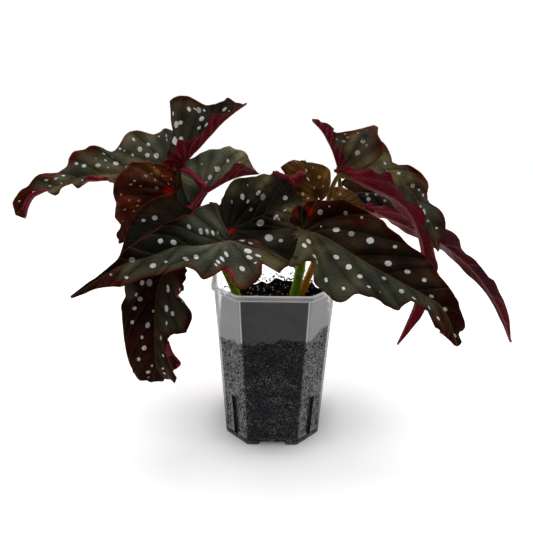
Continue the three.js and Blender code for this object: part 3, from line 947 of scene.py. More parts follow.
LEAVES = {
    "leaf_front_right": Leaf(
        mid=((17, -42, 179), (31, -47, 176), (60, -60, 162), (92, -67, 146), (107, -70, 137), (120, -72, 110)),
        left=((0.15, 0.35, 0.93), (0.9, 0.3, 0.35)), right=((-0.1, -0.75, -0.65), (-0.9, -0.3, -0.3)),
        wide_left=(9, 13, 17, 19, 23, 26, 29, 30, 28, 23, 16, 9),
        wide_right=(5, 7, 10, 17, 31, 24, 34, 30, 24, 21, 20, 9), wave=(2, 5, 0.4),
        petiole=("cane_middle", 0.62, (25, -16, 156), (22, -34, 169)), brown=(0.5, 0.22), tone=(0.75, 1.4), ribbing=0.9,
        edge_left=((304, 206.5), (305, 204), (308, 201.5), (312, 199.8), (318, 199), (323, 200.5), (337, 200.5),
            (343, 199.5), (365, 210), (372, 214), (378, 217.5), (384, 220.5), (388, 227), (400, 236), (404, 241),
            (408, 245), (412, 248), (421, 253), (429, 259), (433, 264), (437, 270), (440, 276), (448, 286), (451, 291),
            (454, 297), (457, 301), (458, 306), (464, 321), (465, 327), (463, 331), (460, 332), (459, 335), (462, 342),
            (460, 345), (457, 346.5)),
        edge_right=((300, 230), (297, 245), (295, 253), (293, 259), (288, 266), (290, 268), (294, 268.5), (299, 267.5),
            (303, 264.5), (306, 262.5), (310, 261.5), (313, 263), (313.5, 281), (316, 285), (332, 301), (336, 303.5),
            (341, 304.5), (346, 302.5), (353, 296.5), (358, 295), (370, 297.5), (373, 296.5), (378, 298.5), (381, 300),
            (385, 304.5), (390, 307), (395, 310), (400, 310.5), (402, 307), (405, 304.5), (410, 301.5), (415, 302.5),
            (419, 305), (424, 309), (427, 312), (433, 327), (438, 330), (441, 333), (451, 342), (454, 345.5),
            (457, 346.5)),
        spots=((336.6, 230, 8.2, 5.2, -5), (321.5, 227, 1.9), (370, 241.3, 8.4, 7), (395.1, 246.2, 5.2, 4),
            (308.6, 242.1, 6.6, 4, 50), (304.5, 246.1, 6, 3.8, 45), (314.4, 256.5, 6, 2.4, 40),
            (316.6, 262.7, 4.6, 1.5, 60), (337, 257.4, 7, 4.6, 25), (348.8, 267.5, 6.6, 6), (359.7, 276.4, 6, 4.6, 10),
            (326.9, 279.4, 5.6, 4, 80), (344.4, 288.9, 4.4, 4), (369.7, 286.9, 5, 2.8, 10), (380.1, 292.3, 2),
            (384.4, 278.7, 5.4, 3.8, 20), (388.4, 263.3, 8, 6, 5), (407.5, 271.1, 7.2, 5, 10),
            (424.5, 280.1, 5.6, 4.6, 10), (401.2, 291.2, 6.2, 4.4, 30), (413.8, 298.3, 5.6, 1.6, 30),
            (431.5, 297, 5.6, 3.6, 20), (429.7, 307.4, 4.8, 1.8, 60), (445.1, 308.6, 5.6, 4.4, 10),
            (438.3, 318.9, 5.4, 2.4, 60), (454.7, 335.4, 5, 2.2, 60)),
        painted_shade_spots=((320.2, 211.9, 6.3, 5.3, -55), (328.8, 207, 2), (345.4, 213.4, 5), (361.5, 216.7, 3.4),
            (351.7, 234.6, 7, 5.8)), painted_glows=((309, 211, 4, 0.45), (296, 213, 5, 0.12), (303, 213, 3.4, -1.6)),
        painted_shades=((303, 212.5, 3.6, -3), (330, 207, 14, -0.4), (392, 243, 9, -0.5), (428, 292, 10, -0.5),
            (412, 298, 40, 0.25), (350, 234, 16, 0.3), (332, 226, 7, 0.5), (322, 240, 8, -0.5), (372, 250, 10, -0.5),
            (404, 262, 9, -0.4), (356, 284, 14, 0.35), (326, 266, 8, -0.35), (316, 273, 6, 0.35), (392, 296, 9, 0.3),
            (424, 268, 9, 0.3)),
        stains=((450, 325, 26, 0.5), (318, 210, 12, 0.8), (340, 208, 12, 0.6), (362, 214, 11, 0.5),
            (392, 300, 40, 0.1)),
    ),
    "leaf_front_left": Leaf(
        mid=((-31, -45, 172), (-49, -50, 170), (-64, -52, 170), (-81, -55, 164), (-97, -58, 160), (-133, -62, 138)),
        left=((0.1, -0.8, -0.6), (0.5, -0.5, -0.7)), right=((0.1, 0.5, 0.85), (-0.3, 0.4, 0.85)),
        wide_left=(24, 40, 43, 34, 39, 23, 20, 22, 18, 17, 12, 6),
        wide_right=(5, 6, 8, 14, 23, 27, 24, 19, 16, 11, 7, 3), wave=(1.4, 5, 1.1),
        petiole=("cane_left", 0.54, (-38, -22, 151), (-34, -36, 163)), brown=(0.3, 0.6), tone=(1.6, 0.38), ribbing=0.35,
        edge_left=((253, 237), (262, 246), (275, 253), (292, 261.5), (289, 265), (282, 271.5), (279, 275), (262, 264.5),
            (262, 276), (259.5, 279.5), (255, 283), (250, 286), (245, 290.5), (241, 292), (238, 291), (235, 288),
            (228, 270), (224, 270.5), (219, 274.5), (214, 277), (208, 278.5), (203, 279.5), (200, 277), (197, 273),
            (194, 270.5), (186, 267), (183, 267.5), (178, 270), (172, 272), (166, 274.5), (160, 276.5), (153, 276),
            (146, 277.5), (138, 280), (130, 284), (123, 286.5), (110, 287.5), (102, 288), (96, 289), (90, 291),
            (84, 294), (77, 296.5)),
        edge_right=((229, 232), (225, 226), (221, 219), (218, 211), (217.5, 207), (213, 204.5), (207, 204),
            (200, 206.5), (196, 208.5), (192, 214), (187, 215.5), (182, 216.5), (176, 220), (170, 221.8), (162, 225),
            (158, 229), (152, 232.5), (146, 236.5), (140, 240), (134, 244), (129, 247), (121, 255), (117, 260),
            (103, 272), (95, 278), (85, 287)),
        spots=((160, 241.2, 6, 5.6, 60), (174, 241.6, 7, 5.6, 30), (153.6, 266, 7.2, 5.2, -20),
            (165.4, 261.7, 3.8, 2.8), (126.5, 278, 4.6, 3.8), (186.3, 259, 7.2, 3.6, 25), (195.9, 257.5, 6, 5.2, 30),
            (189, 227, 6, 4, 55), (200.2, 230.9, 7.6, 4.2, 75), (207.6, 231.5, 7, 3, 72), (213, 232.8, 6, 3, 70),
            (217.6, 232.3, 4.2, 1.6, 80), (215.3, 264.8, 5.4, 2, 40), (218.2, 262, 7, 2.6, 42),
            (222.3, 259, 6.6, 3, 50), (226.4, 254.2, 6.8, 3.4, 58), (241.2, 240, 7.6, 3.2, 15),
            (250.4, 243.5, 5.4, 2.2, 22), (248.2, 251.6, 8.6, 4.6, 18), (249.2, 257.5, 7.4, 4, 22),
            (258.1, 255.5, 7, 2.6, 18), (242.4, 268.6, 7, 4.8, 40), (256.2, 263.1, 4, 1.8, -25)),
        painted_shade_spots=((132, 259.8, 7, 6), (110.5, 274.3, 3)),
        painted_shades=((88, 291, 20, -0.8), (110, 275, 12, -0.7), (232, 270, 30, 0.2), (180, 262, 40, 0.2), (214, 224, 26, 2),
            (150, 246, 22, -0.4), (185, 225, 14, 0.5), (105, 283, 18, 0.1)),
        stains=((100, 285, 26, 0.4), (212, 222, 30, -0.6), (165, 240, 26, -0.2), (215, 262, 60, 0.14)),
    ),
    "leaf_centre": Leaf(
        mid=((-32, -30, 173), (-18, -30, 180), (-3, -26, 186), (10, -16, 188), (18, -6, 185)),
        left=((-0.1, 0.3, 0.95), (0.2, 0.6, 0.8)), right=((0.05, -0.25, -0.97), (0.2, -0.2, -0.95)),
        wide_left=(4, 5, 7, 11, 18, 25, 32, 32, 28, 24, 15, 7), wide_right=(6, 7, 8, 11, 20, 28, 33, 33, 29, 23, 14, 7),
        wave=(1.6, 4, 2), petiole=("cane_left", 0.66, (-38, -18, 163)), brown=(0, 0), tone=(0.64, 0.66), ribbing=0.2,
        edge_left=((224, 224), (220, 218), (217.5, 211), (217, 206), (220, 204), (221, 199), (224, 196), (226, 191),
            (231, 183), (235, 180), (240, 178), (252, 176.5), (256, 176.5), (260, 174.5), (264, 173.5), (271, 175.5),
            (273, 172), (276, 171), (280, 173.5), (289, 178), (291, 182), (297, 192), (303, 203)),
        spots=((241.6, 196.5, 7.2, 4.6, 85), (257.5, 193, 6.8, 4, -45), (248.5, 201.6, 5.6, 2.8, -60),
            (284.4, 197.7, 5.2), (275.7, 216.6, 6.8, 3.8, -45), (278.6, 220.1, 4.2, 2.2, 80),
            (284.6, 210, 5.6, 1.6, -25), (260.1, 223.3, 8.6, 7.2, -20), (268.7, 238.4, 9.2, 7.8, 10),
            (280.8, 239.9, 5, 4.2), (273, 255.5, 5.2, 4), (247.6, 185.6, 1.6)),
        painted_shade_spots=((232.2, 201.2, 5, 2.6, 80), (263.4, 196.5, 7.8, 5.2, -70), (251.4, 209.7, 5, 3, -60)),
        painted_glows=((231, 231, 3, 1),),
        painted_shades=((250, 212, 22, -1.7), (270, 224, 12, -0.7), (282, 193, 14, -1.3), (262, 224, 11, -0.9),
            (236, 190, 7, 0.9), (268, 179, 6, 1.1), (260, 188, 5, 1.2), (252, 198, 5, 1.3), (298, 205, 6, 1.1),
            (288, 209, 6, 1.3), (278, 214, 5, 1), (272, 239, 11, 0.9)),
    ),
    "leaf_upper_centre": Leaf(
        mid=((-50, -12, 193), (-40, -12, 199), (-31, -12, 204), (-22, -12, 207), (-12, -12, 208)),
        left=((-0.4, 0.5, 0.77), (0.2, 0.6, 0.8)), right=((0.1, -0.6, 0.8), (0.1, -0.6, 0.8)),
        wide_left=(5, 7, 11, 18, 26, 28, 28, 26, 26, 20, 12, 5), wide_right=(3, 4, 5, 6, 6, 7, 8, 9, 11, 13, 10, 5),
        wave=(1.4, 4, 0.5), petiole=("cane_left", 0.79, (-55, -12, 181)), brown=(-0.1, 0), tone=(3.6, 3.2),
        edge_left=((187, 161), (191, 158.5), (196, 155.5), (200, 153.8), (206, 152), (212, 150.5), (220, 149.3),
            (224, 147.8), (230, 146), (233, 148), (241, 150), (245, 152.2), (248, 155), (249, 159), (253, 167),
            (258, 173)),
        edge_right=((209, 187), (213, 184.5), (218, 178), (230, 172), (231, 168), (232, 165.5), (236, 165), (243, 164),
            (247, 165.5), (252, 168), (258, 173)),
        spots=((228.3, 160, 4.8, 3.8, -70), (218.4, 168.8, 7, 5, -55), (210.4, 177.4, 6.4, 4.2, -65),
            (214.5, 166.9, 4.8, 1.9, -60), (201.3, 164.2, 2), (206.3, 182.7, 4, 1.4, -20),
            (239.4, 162.6, 6.6, 2.2, -28), (185.7, 186.3, 4.8, 1.8, 60)), seeded=6,
    ),
    "leaf_top_left": Leaf(
        mid=((-65, 5, 211), (-55, 6, 220), (-39, 9, 237), (-29, 12, 245), (-21, 16, 250)),
        left=((-0.6, 0.5, 0.6), (-0.5, 0.5, 0.7)), right=((-0.45, -0.65, 0.6), (-0.3, -0.65, 0.6)),
        wide_left=(8, 10, 13, 17, 22, 30, 41, 38, 27, 19, 13, 6),
        wide_right=(7, 10, 14, 16, 16, 17, 15, 12, 10, 9, 6, 3), wave=(1.8, 4, 1), petiole=("cane_left", 1),
        brown=(0.35, 0.3), tone=(0.9, 0.9),
        edge_left=((163, 164), (167, 156), (170, 148), (171.5, 140), (172, 131), (171.5, 122), (170.7, 102),
            (174, 99.8), (182, 96.2), (186, 95.8), (189, 96.5), (193, 98.5), (198, 101.3), (202, 103.5), (206, 104.8),
            (210, 105.2), (215, 104.8), (220, 103.2), (225, 102), (228, 98.2), (231, 99.5), (235, 101.8), (241, 103.2),
            (245, 105.4)),
        edge_right=((163, 164), (166, 160), (170, 156), (174, 152.5), (176.5, 148), (179.5, 141.5), (186, 140.8),
            (189, 139.5), (195, 136.5), (200, 134.5), (205, 131.5), (209, 128.5), (209, 120), (211, 118), (214, 114.5),
            (217, 113.7), (223, 113), (231, 111.8)),
        spots=((189.1, 109.8, 5.8, 4, 62), (194.3, 109.6, 1.8), (204.4, 110.3, 2.5), (174, 114.2, 4.6, 2.2, 90),
            (176, 125.2, 8, 4.6, -85), (181.4, 122.4, 5.2, 4.8), (175.3, 141.1, 10, 5, 80), (180.8, 138.6, 6.4, 5, -70),
            (201.7, 119.2, 6.8, 4.6, -45), (200, 127.6, 5.6, 3, -50), (206.2, 124.7, 8, 2, -50),
            (224.4, 109.7, 6, 3.2, -45), (228.7, 111, 3, 1.4, -40)), painted_shade_spots=((198.4, 110, 7.6, 5, 80),), seeded=8,
    ),
    "leaf_far_left": Leaf(
        mid=((-77, 19, 203), (-114, 23, 198), (-132, 25, 196), (-144, 25, 194), (-158, 24, 189), (-179, 21, 181),
            (-187, 17, 165)), left=((0, -0.6, -0.8), (0, -0.6, -0.8)), right=((0, 0.45, 0.9), (-0.5, 0.3, 0.6)),
        wide_left=(8, 10, 12, 13, 13, 13, 12, 10, 8, 7, 6, 6),
        wide_right=(10, 14, 20, 27, 30, 29, 29, 22, 23, 15, 12, 13), wave=(2.4, 6, 0),
        petiole=("cane_left", 0.93, (-68, 13, 196)), brown=(0.24, 0.22), tone=(2, 2.2), ribbing=0.6,
        edge_left=((113, 185), (110, 182), (100, 183.5), (90, 184.5), (87, 186), (83, 189), (79, 190), (76, 187.5),
            (74, 184.5), (66, 186.5), (63, 188), (61, 191), (56, 195.5), (52, 195.5), (48, 191.5), (42, 194.5),
            (36, 198), (33, 202), (30, 208), (28, 213), (27, 219)),
        edge_right=((162, 131), (157, 133), (153, 134), (143, 132), (137, 131), (131, 132), (121, 142), (118, 146),
            (114, 150), (110.5, 151.5), (107, 150.5), (102, 147.5), (97, 146), (91, 147), (86, 150), (80, 151),
            (75, 152), (71, 155), (67.5, 158.5), (67, 162), (66, 166), (61, 170), (58, 172.5), (50, 173), (46, 173),
            (41, 175), (37, 178), (29, 186), (25, 188), (20.5, 190), (15, 198), (12, 201), (12, 205), (14, 211),
            (15.5, 215), (23, 218), (26.5, 219)),
        curls=((101, 182, 14, 215), (68, 184, 8, 215), (43, 193, 10, 225), (31, 204, 10, 200)),
        spots=((134.3, 140.2, 4.6, 3.2, 80), (139.2, 148.9, 6.2, 5.2, 80), (148, 144.7, 4.8, 4.2), (147.6, 155, 5.4, 5),
            (157, 156.3, 6.2, 6), (132.7, 155, 4.3, 2.8, 90), (120.5, 149.3, 3.9, 3.4), (124.4, 151, 2.6),
            (103.6, 153.6, 4.2, 2.6), (106.5, 160.1, 4.6, 2.6, -30), (115.7, 163.9, 6.4, 4.4), (126.3, 167.5, 3, 2.5),
            (97.6, 165, 6.4, 4.5, -5), (108.2, 168.3, 2.2), (83.3, 166.2, 5.6, 4.2, -15), (75.8, 163.8, 4.1, 3.8),
            (63.4, 176, 3.6, 2.6, -30), (56.3, 178.1, 4.8, 2.4, -30), (45.9, 180.5, 4.5, 3), (83.9, 180.4, 5, 1.4),
            (91.2, 179.4, 3.4, 1.3), (98.9, 179.4, 5, 1.4), (62.1, 182.6, 3.8, 1.8, -25), (50.6, 185.6, 3.3, 1.5, -20),
            (33.5, 191.4, 3.5, 2.6, -30), (19.3, 201.2, 3.4, 2.6, 20), (26.1, 209.5, 3.8, 2, 90),
            (158.5, 136.1, 3.2, 1.5, -15), (165.8, 135.6, 5, 2, -70), (167.4, 139.8, 4, 1.8, -70)),
        painted_shade_spots=((95.9, 157.8, 2.8, 1.7), (112.4, 156.9, 2)),
        painted_shades=((26, 203, 14, -0.5), (128, 140, 8, 0.5), (100, 153, 7, -0.6), (80, 175, 8, -0.5), (60, 180, 7, 0.4),
            (150, 150, 12, 0.3), (105, 168, 9, 0.3)),
        stains=((72, 158, 9, 0.4), (92, 149, 9, 0.3), (116, 143, 9, 0.2), (50, 176, 9, 0.4), (26, 205, 17, 1)),
    ),
    "leaf_young_left": Leaf(
        mid=((-69, -8, 194), (-86, -10, 188), (-101, -12, 177), (-111, -12, 157)),
        left=((0.1, -0.1, -0.95), (0.3, -0.2, -0.9)), right=((-0.2, 0.2, 0.95), (-0.8, 0.2, 0.4)),
        wide_left=(5, 6, 7, 9, 12, 14, 17, 18, 18, 16, 11, 5), wide_right=(5, 6, 8, 12, 17, 23, 28, 28, 23, 15, 8, 4),
        wave=(1.5, 4, 3), petiole=("cane_left", 0.87), kind=Kind.YOUNG, brown=(0.8, 0.6), tone=(0.85, 0.8),
        edge_right=((178, 172), (171, 168), (163, 164), (157, 163.5), (152, 162.5), (147, 159.5), (146, 161),
            (141, 162), (132, 161.5), (128, 165.5), (124, 170), (120, 174), (116, 179), (114, 184), (113, 193),
            (114, 198), (116, 203), (114.5, 209), (114.5, 218), (118, 221.5), (121, 225), (120, 229), (116.5, 233),
            (116.5, 237), (119, 240)),
        spots=((146, 174.8, 3.6, 3), (151, 174, 2.8, 2.2), (155, 179.8, 3.8, 2.2, 70), (134, 181.5, 4.2, 2.8, 70),
            (130.8, 185, 3.2, 2.6), (141, 185.5, 3.2, 2, 60), (121.5, 194, 2.4), (166, 175.5, 2.2, 1.4, 30),
            (171.2, 178.6, 2.4, 1.6, 60), (162.2, 176.5, 1.8), (168.8, 184, 2.2, 1.4, 60), (155, 168, 1.8)),
        painted_shade_spots=((157, 188, 5, 3.8, 20), (129, 200, 3.4, 2.8), (139, 200, 4, 3.2), (138, 205.5, 3.6, 2.8),
            (124.5, 210, 2.8), (134, 210.5, 3.2, 2.6), (123, 221, 2)),
        painted_glows=((170, 191, 3.2, 0.9), (166, 191, 2.6, 0.7)),
        painted_shades=((160, 171, 6, 1.3), (168, 177, 6, 1.5), (139, 168, 4, 0.8), (145, 176, 3.5, 0.7), (151, 184, 3.5, 0.5),
            (136, 182, 6, -0.5), (150, 193, 9, -0.6), (124, 199, 8, 0.9), (135, 203, 8, 0.8), (120, 220, 7, 0.9)),
        stains=((132, 200, 26, 0.3), (150, 172, 8, -0.3), (167, 176, 7, 0.35)),
    ),
    "leaf_behind_left": Leaf(
        mid=((-60, -22, 180), (-75, -22, 174), (-91, -22, 166), (-112, -24, 144)),
        left=((0.1, -0.5, -0.8), (0.3, -0.5, -0.8)), right=((-0.2, 0.05, 0.98), (-0.6, 0.1, 0.6)),
        wide_left=(6, 7, 9, 10, 11, 12, 13, 14, 15, 14, 9, 4), wide_right=(5, 6, 8, 10, 13, 19, 22, 22, 17, 13, 8, 4),
        wave=(1.4, 4, 0.3), petiole=("cane_left", 0.72, (-54, -14, 171)), brown=(0.4, 0.4), tone=(0.7, 0.7),
        edge_right=((184, 207), (180, 203), (175, 197), (170, 194.5), (164, 194.5), (157, 196.8), (150, 200),
            (144, 205), (138, 211), (134, 216), (131, 222), (127, 231), (124, 240), (122, 248), (119, 257)),
        spots=((143.3, 220.2, 4.4), (155, 217.3, 6.2, 5.8)), seeded=3,
    ),
    "leaf_hanging": Leaf(
        mid=((-72, -28, 148), (-79, -30, 138), (-83, -32, 124), (-85, -34, 103), (-86, -34, 82), (-86, -33, 67),
            (-81, -31, 56)), left=((0.9, -0.3, 0.1), (0.9, -0.3, 0.1)), right=((-0.9, -0.2, 0.1), (-0.9, -0.2, 0.1)),
        wide_left=(6, 8, 12, 18, 20, 24, 26, 30, 20, 16, 24, 13),
        wide_right=(5, 7, 9, 12, 15, 19, 25, 26, 26, 25, 22, 11), wave=(2, 5, 0.8),
        petiole=("cane_left", 0.49, (-52, -15, 147), (-64, -24, 150)), brown=(0.55, 0.85), tone=(0.8, 0.42),
        edge_left=((187, 272), (184, 280), (182.5, 284.5), (186, 288.5), (189, 292.5), (188, 294), (185, 297),
            (184.5, 301), (186, 305), (189, 308), (191, 312), (191, 320), (190, 326), (188, 331.5), (182, 332.5),
            (175, 333.5), (170, 336), (167, 340), (169, 349), (171, 354), (181, 364), (178, 366), (174, 370),
            (178, 376.5), (176, 380), (174, 386)),
        edge_right=((124, 288), (125.5, 295), (123, 299), (120.5, 304.5), (121.5, 310), (122, 320), (124, 340),
            (126, 350), (129, 362), (132, 368), (133, 373), (136, 378), (139, 381), (147, 380), (150, 382.5),
            (155, 381.5), (160, 381), (164, 382)), curls=((188, 293, 7, 190),),
        spots=((142.3, 282.3, 6, 4.4, -70), (135.9, 294.5, 4.4, 3.2, -75), (134.4, 307.5, 5, 4.6),
            (152.7, 311.2, 3.6, 2.6, -70), (132.9, 322.1, 4.8, 4.2), (147.8, 324.9, 6.8, 5.2, -75),
            (141.6, 337.4, 4.2, 3.4, 80), (143.9, 347.1, 5.8, 5.4), (138.8, 358.4, 4.4, 4.2), (151.4, 365.4, 2.8),
            (148.3, 372.6, 5.2, 3.2, -20), (168.2, 288.6, 9.2, 3.4, 88), (166.8, 307.9, 8.2, 3.4, 82),
            (172, 313.1, 6.2, 3.8, 80), (166.6, 322.2, 6, 2.2, 90), (180.6, 290.4, 6, 1.6, 90),
            (182, 301.3, 5, 1.6, 88), (160.8, 337.8, 6.6, 1.8, 88), (163.5, 355.6, 5, 2, 65), (163, 368.8, 2.4),
            (164.4, 373.1, 3.4, 1.8, 25)),
        painted_shade_spots=((149.1, 282.5, 8.2, 6.6, 80), (140, 299.1, 6, 5.6), (148, 377, 3.8, 1.8, -25)),
        painted_shades=((140, 352, 22, 0.7), (128, 292, 10, 1.3), (164, 378, 10, 0.5), (150, 315, 12, -0.4)),
        stains=((126, 292, 10, -0.9), (170, 320, 26, -0.2)),
    ),
    "leaf_young_centre": Leaf(
        mid=((30, -2, 189), (26, 0, 199), (22, 3, 208), (20, 5, 213)), left=((-0.9, -0.2, -0.3), (-0.9, -0.2, -0.3)),
        right=((0.88, 0.1, 0.27), (0.88, 0.1, 0.27)), wide_left=(3, 4, 5, 7, 10, 14, 14, 17, 21, 18, 11, 4),
        wide_right=(3, 4, 5, 6, 8, 10, 13, 16, 14, 10, 6, 2), wave=(1.2, 4, 0), petiole=("cane_middle", 1),
        kind=Kind.YOUNG, brown=(0.3, 0.1),
        edge_left=((301, 202), (296, 195), (290, 186), (287, 181), (286, 176), (284, 172), (280, 167.5), (284, 164.5),
            (288, 162), (293, 160), (298, 159)),
        spots=((306.2, 171, 4.2, 2.8, 70), (319.6, 176.7, 4, 3.4), (313.7, 167.9, 1.7), (308.3, 178.9, 7.4, 2, 60),
            (302.4, 194.2, 4.4, 3.2, 80), (307.8, 198.5, 3.8, 3), (323, 186.6, 3.6, 2, -60),
            (314.4, 187.2, 3.6, 1.6, 60)),
        painted_shades=((289, 167, 7, 0.7), (300, 166, 5, 0.3), (322, 173, 6, 0.5), (326, 180, 5, 0.4), (305, 199, 7, 0.5),
            (318, 194, 5, -1.2), (308, 171, 2.6, -0.8), (311, 180, 2.6, -0.8), (315, 189, 2.6, -0.8),
            (299, 189, 4, -0.8)),
    ),
    "leaf_small": Leaf(
        mid=((40, -8, 184), (48, -12, 188), (57, -14, 187), (64, -16, 183)), left=((0, 0.3, 0.9), (0.3, 0.3, 0.8)),
        right=((0, -0.6, -0.7), (0, -0.6, -0.7)), wide_left=(4, 5, 6, 8, 10, 12, 12, 11, 9, 6, 4, 2),
        wide_right=(4, 4, 5, 6, 7, 9, 12, 13, 12, 10, 6, 2), wave=(1, 3, 0),
        petiole=("cane_middle", 0.84, (34, -3, 177)), kind=Kind.YOUNG, brown=(0.2, 0.2),
        edge_left=((330, 190), (333, 187.5), (338, 186.5), (342, 187), (350, 190.5), (357, 195), (366, 210),
            (336, 200.5), (330, 200)), spots=((339.9, 193.8, 5, 2.4, -45), (332, 199.7, 5, 2.6, -30)),
    ),
    "leaf_long_right": Leaf(
        mid=((44, 8, 205), (69, 5, 194), (85, 3, 187), (95, 0, 179), (105, -3, 161), (110, -6, 137), (107, -8, 111),
            (95, -10, 75)), left=((0, 0.8, -0.55), (-0.8, 0.4, -0.2)), right=((0.1, -0.5, 0.85), (0.8, -0.5, 0.2)),
        wide_left=(3, 4, 5, 6, 8, 7, 8, 10, 8, 7, 5, 3), wide_right=(3, 4, 6, 8, 10, 14, 17, 12, 11, 13, 12, 5),
        wave=(1.8, 6, 0.6), petiole=("cane_right", 1), kind=Kind.WINE,
        edge_left=((340, 180), (347, 180), (353, 182), (360, 184.5), (378, 195), (392, 205), (397, 208), (403, 213),
            (408, 219), (413, 226), (417, 232), (426, 256), (414, 303), (411, 315), (398, 341)),
        edge_right=((337, 169), (342, 167.5), (346, 166.5), (351, 167.5), (356, 169), (360, 168), (365, 168),
            (369, 170), (373, 173), (378, 175.5), (383, 175), (386, 174), (390, 176), (394, 181), (398, 184.5),
            (401, 187), (403, 192), (405, 198), (408, 202), (413, 203.5), (418, 207), (421, 211), (424, 217),
            (425, 222), (424, 229), (425, 235), (426, 240), (431, 242), (434, 247), (436, 252), (438, 264), (438, 270),
            (424, 312), (421, 318), (412, 329), (399, 344)),
        painted_under_shades=((395, 195, 24, -0.3), (425, 235, 16, -0.5), (430, 262, 12, -0.8), (372, 190, 12, -0.2),
            (352, 174, 14, 0.3)), seeded=16,
    ),
    "leaf_far_right": Leaf(
        mid=((67, 30, 172), (96, 31, 159), (124, 23, 148), (144, 13, 135), (158, 4, 121), (172, -3, 100),
            (182, -8, 77)), left=((0, 0.8, -0.55), (-0.8, 0.4, -0.2)), right=((0.1, -0.5, 0.85), (0.8, -0.5, 0.2)),
        wide_left=(4, 5, 7, 9, 11, 12, 13, 14, 13, 9, 6, 3), wide_right=(5, 5, 6, 7, 11, 15, 18, 16, 14, 10, 10, 6),
        wave=(1.6, 6, 2), petiole=("cane_right", 0.8, (54, 24, 170)), kind=Kind.WINE,
        edge_left=((375, 217), (385, 219.5), (392, 225), (400, 229), (410, 233), (418, 238.5), (437, 250), (445, 255),
            (452, 260), (460, 266), (475, 281), (482, 289), (489, 299), (495, 308), (499, 317), (503, 325), (509, 341)),
        edge_right=((372, 206.5), (378, 205), (384, 206), (390, 209), (400, 211), (406, 214), (451, 232), (456, 236),
            (460, 240), (464, 250), (466, 254), (470, 256.5), (475, 261), (480, 267), (485, 274), (489, 279),
            (492, 279.5), (496, 285), (500, 293), (504, 300), (507, 308), (509, 316), (510, 325), (510.5, 333),
            (511, 340)),
        painted_under_shades=((425, 225, 26, -0.6), (450, 243, 20, -0.9), (480, 275, 18, -0.9), (500, 320, 24, -0.5),
            (470, 262, 20, -0.4), (491, 293, 12, -0.9)), seeded=18,
    ),
    "leaf_back_right": Leaf(
        mid=((54, 24, 197), (72, 24, 205), (89, 20, 198), (101, 14, 186), (115, 10, 166), (122, 6, 146)),
        left=((0.1, 0.5, 0.85), (0.8, 0.4, 0.3)), right=((0, -0.2, -0.98), (-0.5, -0.3, -0.6)),
        wide_left=(6, 8, 10, 14, 20, 27, 26, 15, 13, 12, 12, 7),
        wide_right=(6, 8, 10, 12, 14, 15, 15, 14, 13, 12, 10, 5), wave=(2, 5, 1),
        petiole=("cane_right", 0.88, (46, 26, 184)), brown=(0.45, 0.3), tone=(1.9, 1.7),
        edge_left=((388, 160), (393, 163), (398, 165.5), (408, 165.5), (412, 167.5), (420, 173), (428, 181),
            (429.5, 185), (428, 193), (428, 199), (430, 203), (437, 208), (440, 213), (443, 219), (444.5, 224),
            (445, 229), (442, 236), (438, 250)),
        spots=((373.7, 151.7, 4, 2.2, 88), (373.2, 158.4, 5, 3.4, -80), (384.5, 163.3, 4, 2.2, 45),
            (399.1, 174.1, 4.4, 3.2), (422.9, 195.2, 3.4, 1.8, 80), (421, 206.9, 3), (423.4, 211.5, 6.8, 3.2, 80),
            (427.2, 220.7, 3.5, 2.8), (436.3, 228.2, 3.4, 2.6), (367.5, 163.9, 2.6)),
        painted_shade_spots=((412.7, 186.1, 5.4, 5), (419, 189.2, 3.2), (387, 170.8, 2)),
        painted_shades=((404, 175, 4.5, -0.7), (414, 180, 9, -0.3), (428, 186, 4, 0.5), (424, 206, 7, 0.5), (437, 225, 7, -0.8),
            (380, 167, 11, 0.3), (396, 176, 8, 0.3), (424, 222, 5, 0.4), (415, 196, 6, -0.4)),
        stains=((416, 178, 12, 0.1), (412, 192, 8, 0.1), (402, 176, 10, -0.5), (385, 166, 14, -0.3),
            (425, 212, 14, -0.3)),
    ),
    "leaf_top_right": Leaf(
        mid=((46, 17, 203), (43, 16, 211), (40, 15, 219), (36, 14, 227), (32, 13, 233), (25, 11, 240)),
        left=((0.75, -0.55, 0.3), (0.75, -0.55, 0.3)), right=((0.9, 0.08, 0.4), (0.75, 0.3, 0.5)),
        wide_left=(4, 4, 5, 5, 6, 7, 9, 11, 9, 10, 9, 5), wide_right=(6, 8, 12, 18, 26, 32, 36, 29, 19, 12, 8, 4),
        wave=(1.4, 4, 1.5), petiole=("cane_right", 0.955, (47, 13, 191)), brown=(0.32, 0.34), tone=(3, 4),
        edge_left=((343, 166.5), (344.5, 162), (344, 158), (343, 153), (341, 149), (337, 146.5), (334, 143.5),
            (332, 139), (332.5, 134), (334, 129.5), (326, 122.5), (321, 121), (319, 119), (312, 119)),
        edge_right=((312, 119), (333, 131), (336, 132.5), (341, 132), (346, 130.5), (352, 129.5), (364, 129),
            (367, 128.5), (370, 124.5), (372, 124), (376, 125.5), (379, 127.5), (377, 132.5), (379, 137), (382, 142),
            (383, 147), (382, 153)),
        spots=((345.6, 134.6, 2.9, 2.5), (347.8, 138, 3.8, 2), (343.6, 141.4, 5, 3), (359, 133.5, 2.2, 1.8),
            (360.8, 141.1, 4.4, 2.6, -40), (363.6, 141.8, 5, 2, -55), (356.3, 152.6, 6, 5.4, -40),
            (336.4, 138.7, 4, 1.6, 60)), painted_shade_spots=((367, 144, 4, 3.4),),
        painted_shades=((369, 128, 3, -0.8), (365, 135, 3, -0.8), (361, 142, 3, -0.8), (357, 149, 3, -0.7), (352, 156, 4, -0.5),
            (350, 162, 5, -0.5), (361, 127, 4.5, 0.4), (357, 133, 4.5, 0.4), (353, 139, 4.5, 0.4), (349, 146, 4.5, 0.4),
            (379, 146, 8, -0.4)),
        stains=((369, 128, 7, 0.15), (350, 142, 24, 0.1), (379, 146, 9, 0.2), (373, 134, 6, 0.14), (369, 142, 6, 0.12)),
        seeded=5,
    ),
    "leaf_rear_right": Leaf(
